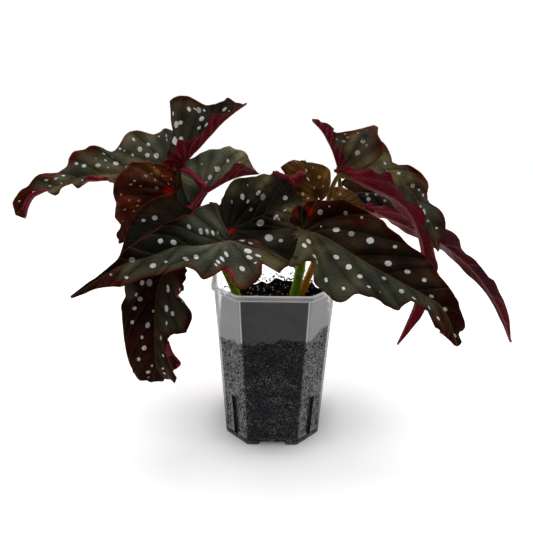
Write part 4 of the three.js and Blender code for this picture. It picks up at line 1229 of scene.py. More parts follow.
        mid=((62, 45, 178), (78, 50, 176), (94, 52, 166), (108, 54, 148)), left=((0.1, 0.5, 0.85), (0.5, 0.4, 0.6)),
        right=((0, -0.6, -0.7), (-0.3, -0.5, -0.6)), wide_left=(6, 7, 8, 9, 11, 13, 14, 14, 12, 8, 5, 2),
        wide_right=(6, 7, 8, 9, 10, 12, 14, 14, 12, 8, 5, 2), wave=(1.2, 4, 0),
        petiole=("cane_right", 0.72, (48, 32, 168)), brown=(0.1, 0.1), tone=(0.22, 0.22),
        painted_shade_spots=((375.1, 194.7, 3.8), (366.7, 194.7, 3.6), (368.6, 199.5, 4.4), (385, 201, 3.4)),
    ),
    "leaf_rear_left": Leaf(
        mid=((-56, 24, 148), (-64, 52, 154), (-74, 84, 144), (-82, 114, 112)),
        left=((-0.9, -0.2, 0.4), (-0.9, -0.2, 0.3)), right=((0.9, 0.3, 0.4), (0.9, 0.3, 0.3)),
        wide_left=(12, 15, 19, 23, 26, 28, 29, 28, 24, 18, 12, 6),
        wide_right=(8, 10, 13, 16, 20, 22, 23, 22, 19, 14, 9, 4), wave=(1.8, 5, 0),
        petiole=("cane_left", 0.6, (-50, 12, 154)), seeded=34, rear=True,
    ),
    "leaf_rear_centre": Leaf(
        mid=((4, 30, 160), (0, 60, 166), (-5, 94, 152), (-8, 124, 120)), left=((-0.9, 0, 0.4), (-0.9, 0, 0.3)),
        right=((0.9, 0, 0.4), (0.9, 0, 0.3)), wide_left=(8, 10, 13, 16, 20, 23, 24, 23, 20, 15, 10, 5),
        wide_right=(12, 15, 19, 23, 26, 28, 29, 28, 24, 18, 12, 6), wave=(1.8, 5, 1),
        petiole=("cane_middle", 0.46, (14, 18, 146)), seeded=34, rear=True,
    ),
    "leaf_rear_low": Leaf(
        mid=((50, 42, 146), (64, 70, 152), (78, 98, 138), (88, 120, 108)), left=((-0.7, 0.4, 0.5), (-0.7, 0.4, 0.4)),
        right=((0.8, -0.4, 0.4), (0.8, -0.4, 0.3)), wide_left=(10, 13, 16, 19, 22, 24, 24, 22, 18, 13, 9, 4),
        wide_right=(7, 9, 12, 15, 18, 20, 20, 19, 16, 12, 8, 4), wave=(1.8, 5, 2),
        petiole=("cane_right", 0.56, (40, 32, 146)), seeded=26, rear=True,
    ),
}


@dataclass(frozen=True)
class VeinPlan:
    """Side veins of every leaf: where each leaves the midrib, its angle from it and its bend to the tip."""

    along: tuple[float, ...] = (0.0, 0.0, 0.0, 0.02, 0.05, 0.24, 0.42, 0.58, 0.73, 0.87)
    angle: tuple[float, ...] = (148.0, 112.0, 80.0, 54.0, 32.0, 38.0, 38.0, 37.0, 36.0, 35.0)
    bend: float = 0.0035
    stagger: float = 0.035


class LeafShape:
    """Works out one leaf's surface and builds its piece."""

    VEINS = VeinPlan()
    FINE = 1.3
    QUILT = 1.25
    BULGE = 0.09
    RUFFLE = 2.7
    CRINKLE = 0.16
    LEAST_WIDTH = 0.6
    ROWS = (60, 170)
    HALF_COLUMNS = (14, 42)
    SPOT_RADII = (0.5, 5.5)
    LONGEST_SPOT = 3.0
    OFF_LEAF = 3.0
    SEEDED_RADII = (1.2, 3.0)
    OFF_MARGIN, OFF_MIDRIB, OFF_VEINS, OFF_SPOTS = 3.5, 3.0, 1.6, 3.4
    JOINT_GAP = 0.3
    STALK_SIDES, STALK_RINGS = 14, 60
    UNDER_BLADE = (0.17, 0.36)

    def __init__(self, name: str, leaf: Leaf, lens: Lens, seed: int) -> None:
        """Keeps the plan.

        Args:
            name: The frame's node that the leaf stands for.
            leaf: The leaf's plan.
            lens: The photograph's camera, for the marks that it shows.
            seed: Start of the leaf's own random numbers.
        """
        self.name = name
        self.leaf = leaf
        self.lens = lens
        self.random = np.random.default_rng(seed)
        self.midline = Midline(leaf.mid)
        widest = max(leaf.wide_left) + max(leaf.wide_right)
        self.rows = int(np.clip(1.15 * (self.midline.length + 0.6 * widest) / CELL, *self.ROWS))
        self.half_columns = int(np.clip(0.62 * widest / CELL, *self.HALF_COLUMNS))
        self.s = np.linspace(0, 1, self.rows)
        share = np.linspace(-1, 1, 2 * self.half_columns + 1)
        self.v = np.sign(share) * np.abs(share) ** self.FINE
        self.out = np.abs(self.v)[None, :]
        self.mesher = Mesher()

    def _surface(self) -> None:
        """Middle surface of the blade.

        Each row's ray leaves the midrib at its station, at its angle, and ends on the outline in the
        photograph. A point lies out times the row's width along it, rolled where the margin curls, and
        is lifted off it.
        """
        leaf, u = self.leaf, self.s * (len(STATION_ALONG) - 1)
        along = np.clip(smooth_value(STATION_ALONG, u), 0, 1)
        angle = np.radians(smooth_value(STATION_ANGLE, u))[:, None]
        cosine, sine = np.cos(angle), np.sin(angle)
        centre, way = self.midline.at(along)
        sides, widths, curls = [], [], []
        for (base, tip), reach, edge in (
            (leaf.left, leaf.wide_left, leaf.edge_left), (leaf.right, leaf.wide_right, leaf.edge_right)
        ):
            side = np.outer(1 - along, base) + np.outer(along, tip)
            side = unit(side - (side * way).sum(1, keepdims=True) * way)
            ray = way * cosine + side * sine
            width = np.maximum(smooth_value((*reach, TIP_WIDTH), u), self.LEAST_WIDTH)
            width = width * self._edge_scale(centre, ray * width[:, None], edge)
            sides.append(side)
            widths.append(width)
            curls.append(faded(self.lens.pixels(centre + ray * width[:, None] * 0.8), leaf.curls, 4))
        left = self.v < 0
        which = np.where(left, 0, 1)
        self.side, self.width = np.stack(sides, 1)[:, which], np.stack(widths, 1)[:, which]
        self.way = np.broadcast_to(way[:, None], self.side.shape)
        up = np.cross(self.side, self.way) * np.where(left, -1.0, 1.0)[None, :, None]
        along_ray, off_ray = self._rolled(np.stack(curls, 1)[:, which])
        for half in (self.v <= 0, self.v >= 0):
            self.width[:, half] /= along_ray[:, half].max(axis=1, keepdims=True)
        self.reach = self.out * self.width
        self.flat = np.stack([along[:, None] * self.midline.length + self.reach * cosine, self.reach * sine], -1)
        rolled = self.width * along_ray
        self.middle = (
            centre[:, None]
            + self.way * (rolled * cosine)[..., None]
            + self.side * (rolled * sine)[..., None]
            + up * (self._lift() + self.width * off_ray)[..., None]
        )

    def _lift(self) -> Array:
        """Height off the rays, in millimetres.

        A wave grows to the margin as out^2.5 and a finer one as out^5, the halves bulge by 0.09 width
        out (1 - out), and the blade puffs up between the side veins and crinkles.

        Returns:
            The height at each grid point.
        """
        size, count, phase = self.leaf.wave
        left, along = self.v < 0, self.s[:, None]
        self.vein = self._vein_distance()
        calm = np.minimum(1, self.width / 14) * np.minimum(1, 6 * (1 - along))
        puff = self.QUILT * np.minimum(1, self.width / 20) * (1 - bell(self.vein, 3.2)) * np.minimum(1, self.reach / 5)
        crinkle = self._crinkle() * calm * np.minimum(1, self.reach / 6)
        ripple = np.sin(2 * np.pi * count * along + phase + np.where(left, 0, 2.1))
        ruffle = 0.35 * np.sin(2 * np.pi * self.RUFFLE * count * along + 2 * phase + np.where(left, 1, 0))
        wave = size * calm * (ripple * self.out**2.5 + ruffle * self.out**5)
        return wave + self.BULGE * self.reach * (1 - self.out) + puff * calm + crinkle

    def _edge_scale(self, centre: Array, ray: Array, edge: tuple) -> Array:
        """How much each ray is lengthened so that the margin meets the outline in the photograph.

        Each row's ray is a line in the photograph; where it crosses the outline between 0.5 and 1.6 times
        its plain length, it ends there. Rows beside them ease back to 1 over about 6 rows.

        Args:
            centre: The rays' starts on the midrib.
            ray: The rays from there to the plain margin.
            edge: Photograph pixels of the outline, in order.

        Returns:
            The scale of each row.
        """
        scale = np.ones(len(ray))
        if len(edge) < 2:
            return scale
        line = np.asarray(edge, float)
        start = self.lens.pixels(centre + 0.5 * ray)[:, None]
        step = self.lens.pixels(centre + 1.5 * ray)[:, None] - start
        first, piece = line[None, :-1], (line[1:] - line[:-1])[None]
        across = step[..., 0] * piece[..., 1] - step[..., 1] * piece[..., 0]
        across = np.where(np.abs(across) < 1e-6, 1e-6, across)
        gap = first - start
        t = (gap[..., 0] * piece[..., 1] - gap[..., 1] * piece[..., 0]) / across
        u = (gap[..., 0] * step[..., 1] - gap[..., 1] * step[..., 0]) / across
        found = np.where((t > 0) & (t < 1.1) & (u >= 0) & (u <= 1), t + 0.5, 99)
        best = found[np.arange(len(ray)), np.argmin(np.abs(found - 1), axis=1)]
        rows = np.flatnonzero(best < 90)
        log.debug("%s: %d of %d rows end on the outline", self.name, len(rows), len(ray))
        if not len(rows):
            return scale
        every = np.arange(len(ray))
        scale = np.interp(every, rows, best[rows])
        away = np.maximum(rows[0] - every, 0) + np.maximum(every - rows[-1], 0)
        return 1 + (scale - 1) * np.exp(-away / 6)

    def _rolled(self, degrees: Array) -> tuple[Array, Array]:
        """Form of rays that roll up, whose slope grows as degrees times out^2.

        Args:
            degrees: The margin's slope for each row and column.

        Returns:
            Shares of the width along the ray and off it, at each grid point.
        """
        slope = np.radians(degrees) * self.out**2
        step = np.abs(np.diff(self.out[0]))
        middle = len(self.v) // 2
        shares = []
        for part in (np.cos(slope), np.sin(slope)):
            areas = (part[:, 1:] + part[:, :-1]) / 2 * step
            right = np.cumsum(areas[:, middle:], axis=1)
            left = np.cumsum(areas[:, :middle][:, ::-1], axis=1)[:, ::-1]
            shares.append(np.concatenate([left, np.zeros((self.rows, 1)), right], axis=1))
        return shares[0], shares[1]

    def _vein_distance(self) -> Array:
        """Distance to the nearest side vein, in millimetres.

        In the flattened blade a vein leaves the midrib at its angle and bends to the tip: with p along
        it and q across it, it is the curve q = -bend p^2. The left half's veins stand a little further on.

        Returns:
            The distance at each grid point.
        """
        plan, nearest = self.VEINS, np.full((self.rows, self.v.size), 99.0)
        shift = np.where(self.v < 0, plan.stagger, 0.0)[None, :]
        wobble = self.random.uniform(-1, 1, (2, len(plan.along)))
        for k, (start, degrees) in enumerate(zip(plan.along, plan.angle)):
            if start > 0.1:
                start = start + 0.02 * wobble[0, k] + shift
            turn = math.radians(degrees + 4 * wobble[1, k])
            x = self.flat[..., 0] - start * self.midline.length
            y = self.flat[..., 1]
            p = x * math.cos(turn) + y * math.sin(turn)
            q = -x * math.sin(turn) + y * math.cos(turn)
            gap = np.abs(q + plan.bend * p * np.abs(p)) / np.sqrt(1 + (2 * plan.bend * p) ** 2)
            nearest = np.minimum(nearest, np.where(p > 0, gap, np.hypot(p, q)))
        return nearest

    def _crinkle(self) -> Array:
        """Small seeded waves in the flattened blade: a sum of eight sines of 9 to 22 mm.

        Returns:
            Their height at each grid point, in millimetres.
        """
        total = np.zeros((self.rows, self.v.size))
        x = self.flat[..., 0]
        y = self.flat[..., 1] * np.sign(self.v)[None, :]
        for _ in range(8):
            turn, phase = self.random.uniform(0, 2 * np.pi, 2)
            length = self.random.uniform(9, 22)
            total += np.sin(2 * np.pi * (x * math.cos(turn) + y * math.sin(turn)) / length + phase)
        return self.CRINKLE * total

    def distance(self, x: float, y: float) -> float:
        """How far from the camera the blade is where it comes nearest to a photograph pixel."""
        near = np.argmin(np.linalg.norm(self.pixels - (x, y), axis=-1) + 0.02 * np.maximum(0, -self.facing))
        return float(self.lens.far(self.middle.reshape(-1, 3)[near]))

    def _spot_frame(self, row: int, column: int) -> tuple[Array, Array, Array]:
        """Frame of the surface at a grid point.

        Args:
            row: The point's row.
            column: The point's column.

        Returns:
            Its place and two unit ways in the surface.
        """
        place, normal = self.middle[row, column], self.normal[row, column]
        first = unit(self.way[row, column] - (self.way[row, column] @ normal) * normal)
        return place, first, np.cross(normal, first)

    def _spot_distance(self, row: int, column: int, form: Array) -> Array:
        """Elliptic distance from a spot's middle, 1 on its border.

        Args:
            row: Grid row of its middle.
            column: Grid column of its middle.
            form: Two by two matrix whose quadratic form is 1 on the border.

        Returns:
            The distance over the whole grid.
        """
        place, first, second = self._spot_frame(row, column)
        away = self.middle - place
        flat = np.stack([away @ first, away @ second], -1)
        high = (away @ np.cross(first, second)) / 4
        return np.sqrt(np.einsum("...i,ij,...j", flat, form, flat) + high**2)

    def _seen_spot(self, x: float, y: float, long: float, short: float = 0, turn: float = 0) -> Array | None:
        """A spot that the photograph shows.

        Its outline there is an ellipse; the surface's own slope turns it into an ellipse in the
        surface, whose axes are kept between 0.5 and 5.5 mm and within 1 to 3 of each other.

        Args:
            x: Photograph pixel across.
            y: Photograph pixel down.
            long: Its length in pixels.
            short: Its width in pixels, if it isn't round.
            turn: Degrees from the picture's x to its length, toward y.

        Returns:
            The elliptic distance over the grid, or None where the leaf doesn't reach the pixel.
        """
        off = np.linalg.norm(self.pixels - (x, y), axis=-1) + 50 * (self.facing < 0)
        row, column = np.unravel_index(np.argmin(off), off.shape)
        if off[row, column] > self.OFF_LEAF:
            log.debug("%s has no place for the spot at %s, %s", self.name, x, y)
            return None
        place, first, second = self._spot_frame(row, column)
        steps = np.stack([place + first, place + second])
        slope = (self.lens.pixels(steps) - self.lens.pixels(place)).T
        c, s = math.cos(math.radians(turn)), math.sin(math.radians(turn))
        axes = np.array([[c, -s], [s, c]])
        halves = 0.46 * np.array([long, short or long])
        form = slope.T @ axes @ np.diag(halves**-2.0) @ axes.T @ slope
        strength, ways = np.linalg.eigh(form)
        radii = np.clip(strength**-0.5, *self.SPOT_RADII)
        radii = np.minimum(radii, self.LONGEST_SPOT * radii.min())
        return self._spot_distance(row, column, ways @ np.diag(radii**-2.0) @ ways.T)

    def _spots(self) -> tuple[Array, Array]:
        """Spots that the photograph shows and seeded ones between them.

        The seeded ones keep some millimetres off the margin, the midrib and the veins, and off another
        spot by 3.4 times its radius.

        Returns:
            Distance to the nearest spot and how much painted shade darkens it, at each grid point.
        """
        nearest = np.full((self.rows, self.v.size), 4.0)
        spot_painted_shade = np.zeros_like(nearest)
        # Spots in painted_shade_spots are painted darker, a painted shade.
        for marks, level in ((self.leaf.spots, 0.0), (self.leaf.painted_shade_spots, 1.0)):
            for mark in marks:
                distance = self._seen_spot(*mark)
                if distance is not None:
                    spot_painted_shade = np.where(distance < nearest, level, spot_painted_shade)
                    nearest = np.minimum(nearest, distance)
        allowed = (self.margin > self.OFF_MARGIN) & (self.reach > self.OFF_MIDRIB) & (self.vein > self.OFF_VEINS)
        if not self.leaf.rear:
            allowed &= self.facing < 0.05
        for _ in range(self.leaf.seeded):
            free = np.argwhere(allowed & (nearest > self.OFF_SPOTS))
            if not len(free):
                break
            row, column = free[self.random.integers(len(free))]
            radius = self.random.uniform(*self.SEEDED_RADII)
            form = np.diag([(radius * self.random.uniform(0.75, 1.3)) ** -2.0, radius**-2.0])
            nearest = np.minimum(nearest, self._spot_distance(row, column, form))
        return nearest, spot_painted_shade

    def _patches(self, patches: tuple) -> Array:
        """Soft patches over the grid."""
        return faded(self.pixels, patches, 3)

    def _blade(self) -> None:
        """Top and under faces with the rim between them; the rib stands out below the midrib."""
        thin = BLADE_HALF * (1 - 0.6 * self.out**8)
        keel = RIB_DEPTH * (1 - self.s[:, None]) ** 0.7 * bell(self.reach, 1.0)
        spot, spot_painted_shade = self._spots()
        brown = np.where(self.v < 0, *self.leaf.brown) + self._patches(self.leaf.stains)
        # Painted light and shade on the top: each half's tone times the painted_shades.
        tone = np.where(self.v < 0, *self.leaf.tone) * np.exp(self._patches(self.leaf.painted_shades))
        values = {
            "spot": spot, "spot_painted_shade": spot_painted_shade, "rim": self.margin, "rib": self.reach, "vein": self.vein,
            # glow: painted red light shining through the blade.
            "brown": brown, "glow": self._patches(self.leaf.painted_glows), "tone": tone,
            # depth: painted light and shade on the underside.
            "ribbing": self.leaf.ribbing, "depth": np.exp(self._patches(self.leaf.painted_under_shades)),
        }
        top = self.middle + self.normal * thin[..., None]
        under = self.middle - self.normal * (thin + keel)[..., None]
        self.mesher.add_sheet(top, under, 1, values)

    def _petiole(self) -> None:
        """Round stalk from the cane's joint to the midrib, under which it runs on; it tapers as share^1.5."""
        name, share, *via = self.leaf.petiole
        cane = CANES[name]
        joint, up = (found[0] for found in Midline(cane.path).at(share))
        out, reach = up, self.JOINT_GAP
        if share < 1:
            out = np.asarray(via[0] if via else self.leaf.mid[0], float) - joint
            out = unit(out - (out @ up) * up)
            reach += cane.radius(share) + cane.swell
        foot = joint + out * reach
        below = (self.middle - self.normal)[:, self.half_columns]
        sunk = [below[int(self.rows * part)] for part in self.UNDER_BLADE]
        curve = Midline([foot - out * 1.2, foot + out * 3, *via, *sunk])
        t = np.linspace(0, 1, self.STALK_RINGS)
        thick = PETIOLE_RADIUS[0] + (PETIOLE_RADIUS[1] - PETIOLE_RADIUS[0]) * t**1.5
        flare = 0.5 * bell(t * curve.length, 2.5)
        add_tube(self.mesher, *curve.at(t), thick + flare, self.STALK_SIDES, 2, ring=0 * t)

    def build(self, finishes: Finishes) -> None:
        """Makes the leaf's piece.

        The normals are the cross product of the grid's two ways, and the margin's distance is measured
        along the rays and from the first row.

        Args:
            finishes: The finished materials by name.
        """
        self._surface()
        self.normal = grid_normals(self.middle)
        first = np.linalg.norm(self.middle - self.middle[:1], axis=-1) + 0.4 * (self.reach < 2)
        self.margin = np.minimum((1 - self.out) * self.width, first)
        self.pixels = self.lens.pixels(self.middle)
        self.facing = self.lens.facing(self.middle, self.normal)
        self._blade()
        self._petiole()
        cane, joint = self.leaf.petiole[:2]
        age = "young" if self.leaf.kind is Kind.YOUNG else "leaf"
        stalk = "young_stalk" if age == "young" or (cane == "cane_right" and joint > 0.9) else "petiole"
        dressed = [finishes[name] for name in (f"{age}_top", f"{age}_under", stalk)]
        settle(self.mesher.build(f"fine_{self.name}", dressed), self.leaf.kind.value, self.name)


@dataclass(frozen=True)
class Flap:
    """A rolled part of a leaf's base or margin.

    Each row is its distance in front of the leaf in millimetres and then photograph pixels; the first
    row lies on the leaf.
    """

    leaf: str
    finish: str
    # Painted light and shade: how much lighter or darker the flap is painted, on both faces.
    tone: float
    rows: tuple
    COLUMNS = 28
    STEPS = 5

    def build(self, number: int, leaf: LeafShape, finishes: Finishes) -> None:
        """Makes the flap's piece.

        Args:
            number: Its place in the list, for the name.
            leaf: The leaf that carries it.
            finishes: The finished materials by name.
        """
        share = np.linspace(0, 1, self.COLUMNS)
        lines, far = [], None
        for forward, *row in self.rows:
            row = np.asarray(row, float)
            run = np.append(0, np.cumsum(np.linalg.norm(np.diff(row, axis=0), axis=1)))
            at = np.interp(share, run / run[-1], np.arange(len(row)))
            seen = np.stack([smooth_value(row[:, k], at) for k in (0, 1)], -1)
            if far is None:
                far = np.array([leaf.distance(*pixel) for pixel in seen])
                far = np.convolve(np.pad(far, 3, mode="edge"), np.full(7, 1 / 7), mode="valid")
            lines.append(leaf.lens.place_at(seen, far - forward))
        u = np.linspace(0, len(lines) - 1, (len(lines) - 1) * self.STEPS + 1)
        columns = np.stack(lines, axis=1)
        middle = np.stack([np.stack([smooth_value(row, u) for row in column.T], -1) for column in columns], axis=1)
        normal = grid_normals(middle)
        if leaf.lens.facing(middle, normal).mean() < 0:
            middle, normal = middle[:, ::-1], -normal[:, ::-1]
        values = {"spot": 4, "spot_painted_shade": 0, "rim": 5, "rib": 9, "vein": 5, "brown": 0.2, "glow": 0, "ribbing": 0}
        # The flap's painted light serves for its top and for its underside.
        values |= {"tone": self.tone, "depth": self.tone}
        mesher = Mesher()
        mesher.add_sheet(middle + normal * BLADE_HALF, middle - normal * BLADE_HALF, 0, values)
        settle(mesher.build(f"rolled_part_{number}", [finishes[self.finish]]), leaf.leaf.kind.value)


FLAPS = (
    Flap("leaf_top_left", "leaf_under", 0.75, (
        (0, (165, 159), (172, 157), (182, 156), (190, 156)),
        (2, (167, 165), (174, 166), (182, 165.5), (188, 161)),
        (1, (171, 168), (177, 170.5), (182, 170.5), (188, 163)),
    )),
    Flap("leaf_upper_centre", "leaf_top", 0.5, (
        (0, (185, 171), (188, 188), (191, 203), (193, 212)),
        (1, (181, 170), (183, 188), (186, 203), (190, 213)),
        (0, (177, 172), (176, 188), (179, 203), (186, 213)),
    )),
    Flap("leaf_upper_centre", "leaf_top", 1.9, (
        (0, (203, 185), (202, 190), (198, 197), (192, 204)),
        (3.5, (192, 177), (192, 185), (191, 194), (189, 202)),
        (2, (181, 171), (182, 180), (184, 190), (188, 200)),
    )),
    Flap("leaf_upper_centre", "leaf_under", 0.9, (
        (3, (181, 172), (186, 177.5), (192, 181.5), (199, 187.5), (205, 188)),
        (6, (180, 170), (186, 172), (193, 177), (200, 182.5), (207, 186)),
        (4, (183, 168), (188, 168), (195, 173.5), (201, 179.5), (207, 184.5)),
    )),
    Flap("leaf_upper_centre", "leaf_under", 0.8, (
        (3, (202, 187), (197, 197), (190, 205), (183, 209), (186, 214)),
        (5, (205, 187), (200, 197), (193, 206), (190, 211), (189, 214)),
        (3, (208, 187), (202, 198), (196, 206), (197, 211), (191, 215)),
    )),
    Flap("leaf_young_centre", "leaf_under", 0.9, (
        (0, (289, 181), (294, 185.5), (299, 181), (305.5, 177)),
        (3, (289, 178.5), (294.5, 179.5), (300, 176), (305.8, 174.5)),
        (2, (288, 177), (294, 174.5), (299.5, 170.8), (305, 172.5)),
    )),
    Flap("leaf_front_left", "leaf_under", 1.3, (
        (0.3, (223, 270.5), (226.5, 271.5), (229.5, 275.5), (231, 283)),
        (1.0, (224, 269.5), (228, 270), (231.5, 274.5), (231.8, 283)),
        (0.4, (225, 268.8), (229, 268.8), (233, 273), (232.8, 283.5)),
    )),
    Flap("leaf_centre", "leaf_top", 0.5, (
        (-0.4, (289, 226), (289, 238), (283, 249), (276, 258)),
        (-0.5, (296, 228), (295, 240), (291, 252), (283, 262)),
        (-0.6, (301, 230), (301, 242), (298, 254), (290, 264)),
    )),
    Flap("leaf_hanging", "leaf_under", 0.9, (
        (0.4, (167, 342), (166, 351), (168.5, 360), (172, 370)),
        (1.2, (168.5, 344), (170.5, 353), (175, 361.5), (174.5, 369.5)),
        (0.6, (168.5, 340.5), (173, 352.5), (181, 363), (176.5, 368.5)),
    )),
    Flap("leaf_centre", "leaf_under", 0.85, (
        (0, (273, 176), (280, 178.5), (286, 181), (291.5, 186)),
        (2, (272.5, 173), (280, 175.5), (287.5, 178.5), (293.5, 185)),
        (2, (273, 170.8), (280, 172.5), (288, 176), (295, 181.5)),
    )),
    Flap("leaf_front_right", "leaf_top", 1.3, (
        (-0.9, (303, 226), (306, 236), (305, 246), (300, 257)),
        (-0.7, (299.5, 226), (302, 236), (300, 246), (296, 257)),
        (-0.7, (297, 227), (298.5, 236), (296, 247), (293, 257)),
    )),
)


@dataclass(frozen=True)
class Pot:
    """Milky pot with cut corners, a rolled lip, a slot in each corner and a notch under each side.

    A half is the distance from the axis to a side, and a flat is half the width of a side.
    """

    height: float = 131.0
    top_half: float = 43.3
    top_flat: float = 25.8
    foot_half: float = 36.4
    foot_flat: float = 19.0
    wall: float = 1.2
    floor: float = 1.8
    lip_reach: float = 1.9
    lip_height: float = 4.2
    slot_width: float = 4.0
    slot_reach: float = 40.5
    slot_bottom: float = 4.5
    slot_top: float = 40.0
    notch_half: float = 9.5
    notch_height: float = 2.6
    notch_depth: float = 5.0
    rounding: int = 90
    levels: tuple = (3.6, 8, 14, 20, 26, 32, 37, 44, 54, 66, 78, 86, 88.5, 90, 91.5, 93, 94.5, 96, 98, 101, 104, 107,
                     112, 120)

    @property
    def corner(self) -> float:
        """Angle from the middle of a side to its cut corner."""
        return math.atan2(self.foot_flat + self.top_flat, self.foot_half + self.top_half)

    def reach(self, turn: Array, z: Array, inset: Array) -> Array:
        """Distance from the pot's axis to its side.

        The section is a square with cut corners: the reach is the least of side distance over the cosine
        to it, blended as a power mean so that the corners come out slightly round.

        Args:
            turn: Angle round the axis.
            z: Height in millimetres.
            inset: How far the side is moved in.

        Returns:
            The reach in millimetres.
        """
        share = z / self.height
        half = self.foot_half + share * (self.top_half - self.foot_half) - inset
        flat = self.foot_flat + share * (self.top_flat - self.foot_flat) - inset * math.tan(math.pi / 8)
        total = 0.0
        for k in range(8):
            distance = half if k % 2 == 0 else (half + flat) / math.sqrt(2)
            total = total + (np.maximum(np.cos(turn - k * EIGHTH), 0) / distance) ** self.rounding
        return total ** (-1 / self.rounding)

    def off_side(self, turn: Array) -> Array:
        """Angle from the middle of the nearest side."""
        return np.abs(np.mod(turn + EIGHTH, 2 * EIGHTH) - EIGHTH)

    def cut(self, turn: Array) -> Array:
        """1 on the cut corners and 0 on the sides, with a short step between them."""
        return ease(self.corner - 0.01, self.corner + 0.02, self.off_side(turn))

    def _turns(self) -> tuple[Array, Array]:
        """Columns of the wall, close together at the edges of the corners.

        Returns:
            Their angles round the pot, and which of them lie on a slot or its border.
        """
        half = self.slot_width / 2 / self.slot_reach
        close = np.array([0, 0.004, 0.008, 0.014, 0.022, 0.035, 0.05, 0.07])
        slot = np.array([-half - 0.008, -half, 0, half, half + 0.008])
        turns = [np.linspace(0, 8 * EIGHTH, 200, endpoint=False)]
        for base in np.arange(4) * 2 * EIGHTH:
            edges = [base + way * self.corner + side * close for way in (1, -1) for side in (1, -1)]
            turns += [*edges, base + EIGHTH + slot]
        found = np.unique(np.round(np.mod(np.concatenate(turns), 8 * EIGHTH), 5))
        return found, np.abs(np.mod(found, 2 * EIGHTH) - EIGHTH) <= half + 1e-4

    def _profile(self) -> tuple[list, list, list, list]:
        """The wall's section, where each row is a height, an inset and how strongly a white highlight is painted on it.

        Returns:
            The rows of the foot, the outer wall, the lip and the inside.
        """
        top, out = self.height, -self.lip_reach
        low = top - self.lip_height
        foot = [(1.0, self.notch_depth + 1, 0), (0.2, self.notch_depth, 0), (0, self.notch_depth - 0.6, 0),
                (0, 0.4, 0), (0.3, 0, 0)]
        wall = [(z, 0, 0) for z in sorted((self.slot_bottom, self.slot_top, *self.levels))]
        lip = [(low - 2, 0, 0), (low - 0.4, -0.1, 0), (low, -0.5, 0.5), (low + 0.1, out + 0.4, 1), (low + 0.5, out, 1),
               (low + 1.6, out + 0.1, 0.62), (top - 1.6, out + 0.1, 0.62), (top - 0.7, out, 1),
               (top - 0.2, out + 0.4, 1), (top, out + 1, 0.9), (top, -0.2, 0.4), (top - 0.3, 0.6, 0.2),
               (top - 0.9, self.wall, 0.1), (low, self.wall, 0)]
        inner = [(z, self.wall, 0) for z, _, _ in wall[::-1]]
        base = [(self.floor + 0.4, self.wall + 0.1, 0), *((self.floor, self.wall + more, 0) for more in (0.8, 8))]
        return foot, wall, lip, inner + base

    def build(self, finishes: Finishes, soil: "Soil") -> None:
        """Makes the pot as one closed wall: up the outside, over the lip and down the inside.

        Its values say where white highlights are painted on its edges, where its corners are painted lighter, where a
        grey veil of painted light lies on its front above the soil, and where painted shade with the look of the soil
        darkens its foot, its slots and its sides below the soil.

        Args:
            finishes: The finished materials by name.
            soil: The soil that lies in it.
        """
        turns, in_slot = self._turns()
        foot, wall, lip, inside = self._profile()
        start = len(foot) + len(wall)
        profile = np.array(foot + wall + lip + inside)
        z = np.repeat(profile[:, :1], turns.size, axis=1)
        x, y = around(turns, self.reach(turns, z, profile[:, 1:2]))
        notch = self.notch_height * ease(self.notch_half + 1.4, self.notch_half - 0.4, np.minimum(np.abs(x), np.abs(y)))
        z[2 : len(foot)] += notch[2 : len(foot)]
        near, line = self.off_side(turns), soil.edge(turns)
        above = ease(line - 1, line + 2, z)
        # Painted highlights: white lines along the corners' edges, mostly above the soil, and on the lip's edges.
        moulded = 0.75 * bell(near - self.corner, 0.008) * (0.05 + 0.95 * above)
        moulded = np.maximum(moulded, profile[:, 2:])
        # Painted light: a grey veil on the front of the outer wall above the soil, a little stronger higher up.
        fog = above * (1 - 0.93 * ease(-8, 14, y)) * (1 + 0.2 * ease(line + 2, line + 24, z))
        fog[start + 3 :] = 0
        # Painted shade with the look of the soil: dark on the left and right sides below the soil, on the foot, on the
        # inner floor and in the slots.
        painted_shade_and_soil = 0.8 * ease(self.corner, self.corner - 0.012, near) * (np.abs(x) > np.abs(y)) * (1 - above)
        painted_shade_and_soil[start:] = 0
        painted_shade_and_soil[: len(foot) + 2] = 1
        painted_shade_and_soil[-5:] = 1
        painted_shade_and_soil = np.maximum(painted_shade_and_soil, in_slot * (z > self.slot_bottom - 1) * (z <= self.slot_top))
        mesher = Mesher()
        # Painted light: the corners are painted lighter.
        mesher.add_points(np.stack([x, y, z], -1), moulded=moulded, frost=self.cut(turns), fog=fog, foot=painted_shade_and_soil)
        index = np.arange(z.size).reshape(z.shape)
        pair = in_slot & np.roll(in_slot, -1)
        heights = np.array(wall)[:, 0]
        rows = np.flatnonzero((heights >= self.slot_bottom) & (heights < self.slot_top))
        out_rows = len(foot) + rows
        in_rows = start + len(lip) + len(wall) - 2 - rows
        keep = np.ones(z.shape, bool)[:-1]
        keep[np.ix_(np.concatenate([out_rows, in_rows]), pair)] = False
        mesher.add_grid(index, 0, round_way=True, keep=keep)
        outer, inner = index[np.append(out_rows, out_rows[-1] + 1)], index[np.append(in_rows + 1, in_rows[-1])]
        self._slot_walls(mesher, pair, outer, inner)
        mesher.close(index[0][::-1], (0, 0, profile[0, 0]))
        mesher.close(index[-1], (0, 0, self.floor))
        settle(mesher.build("milky_pot", [finishes["milky_plastic"], finishes["peat_crumb"]]), "pot", "pot")

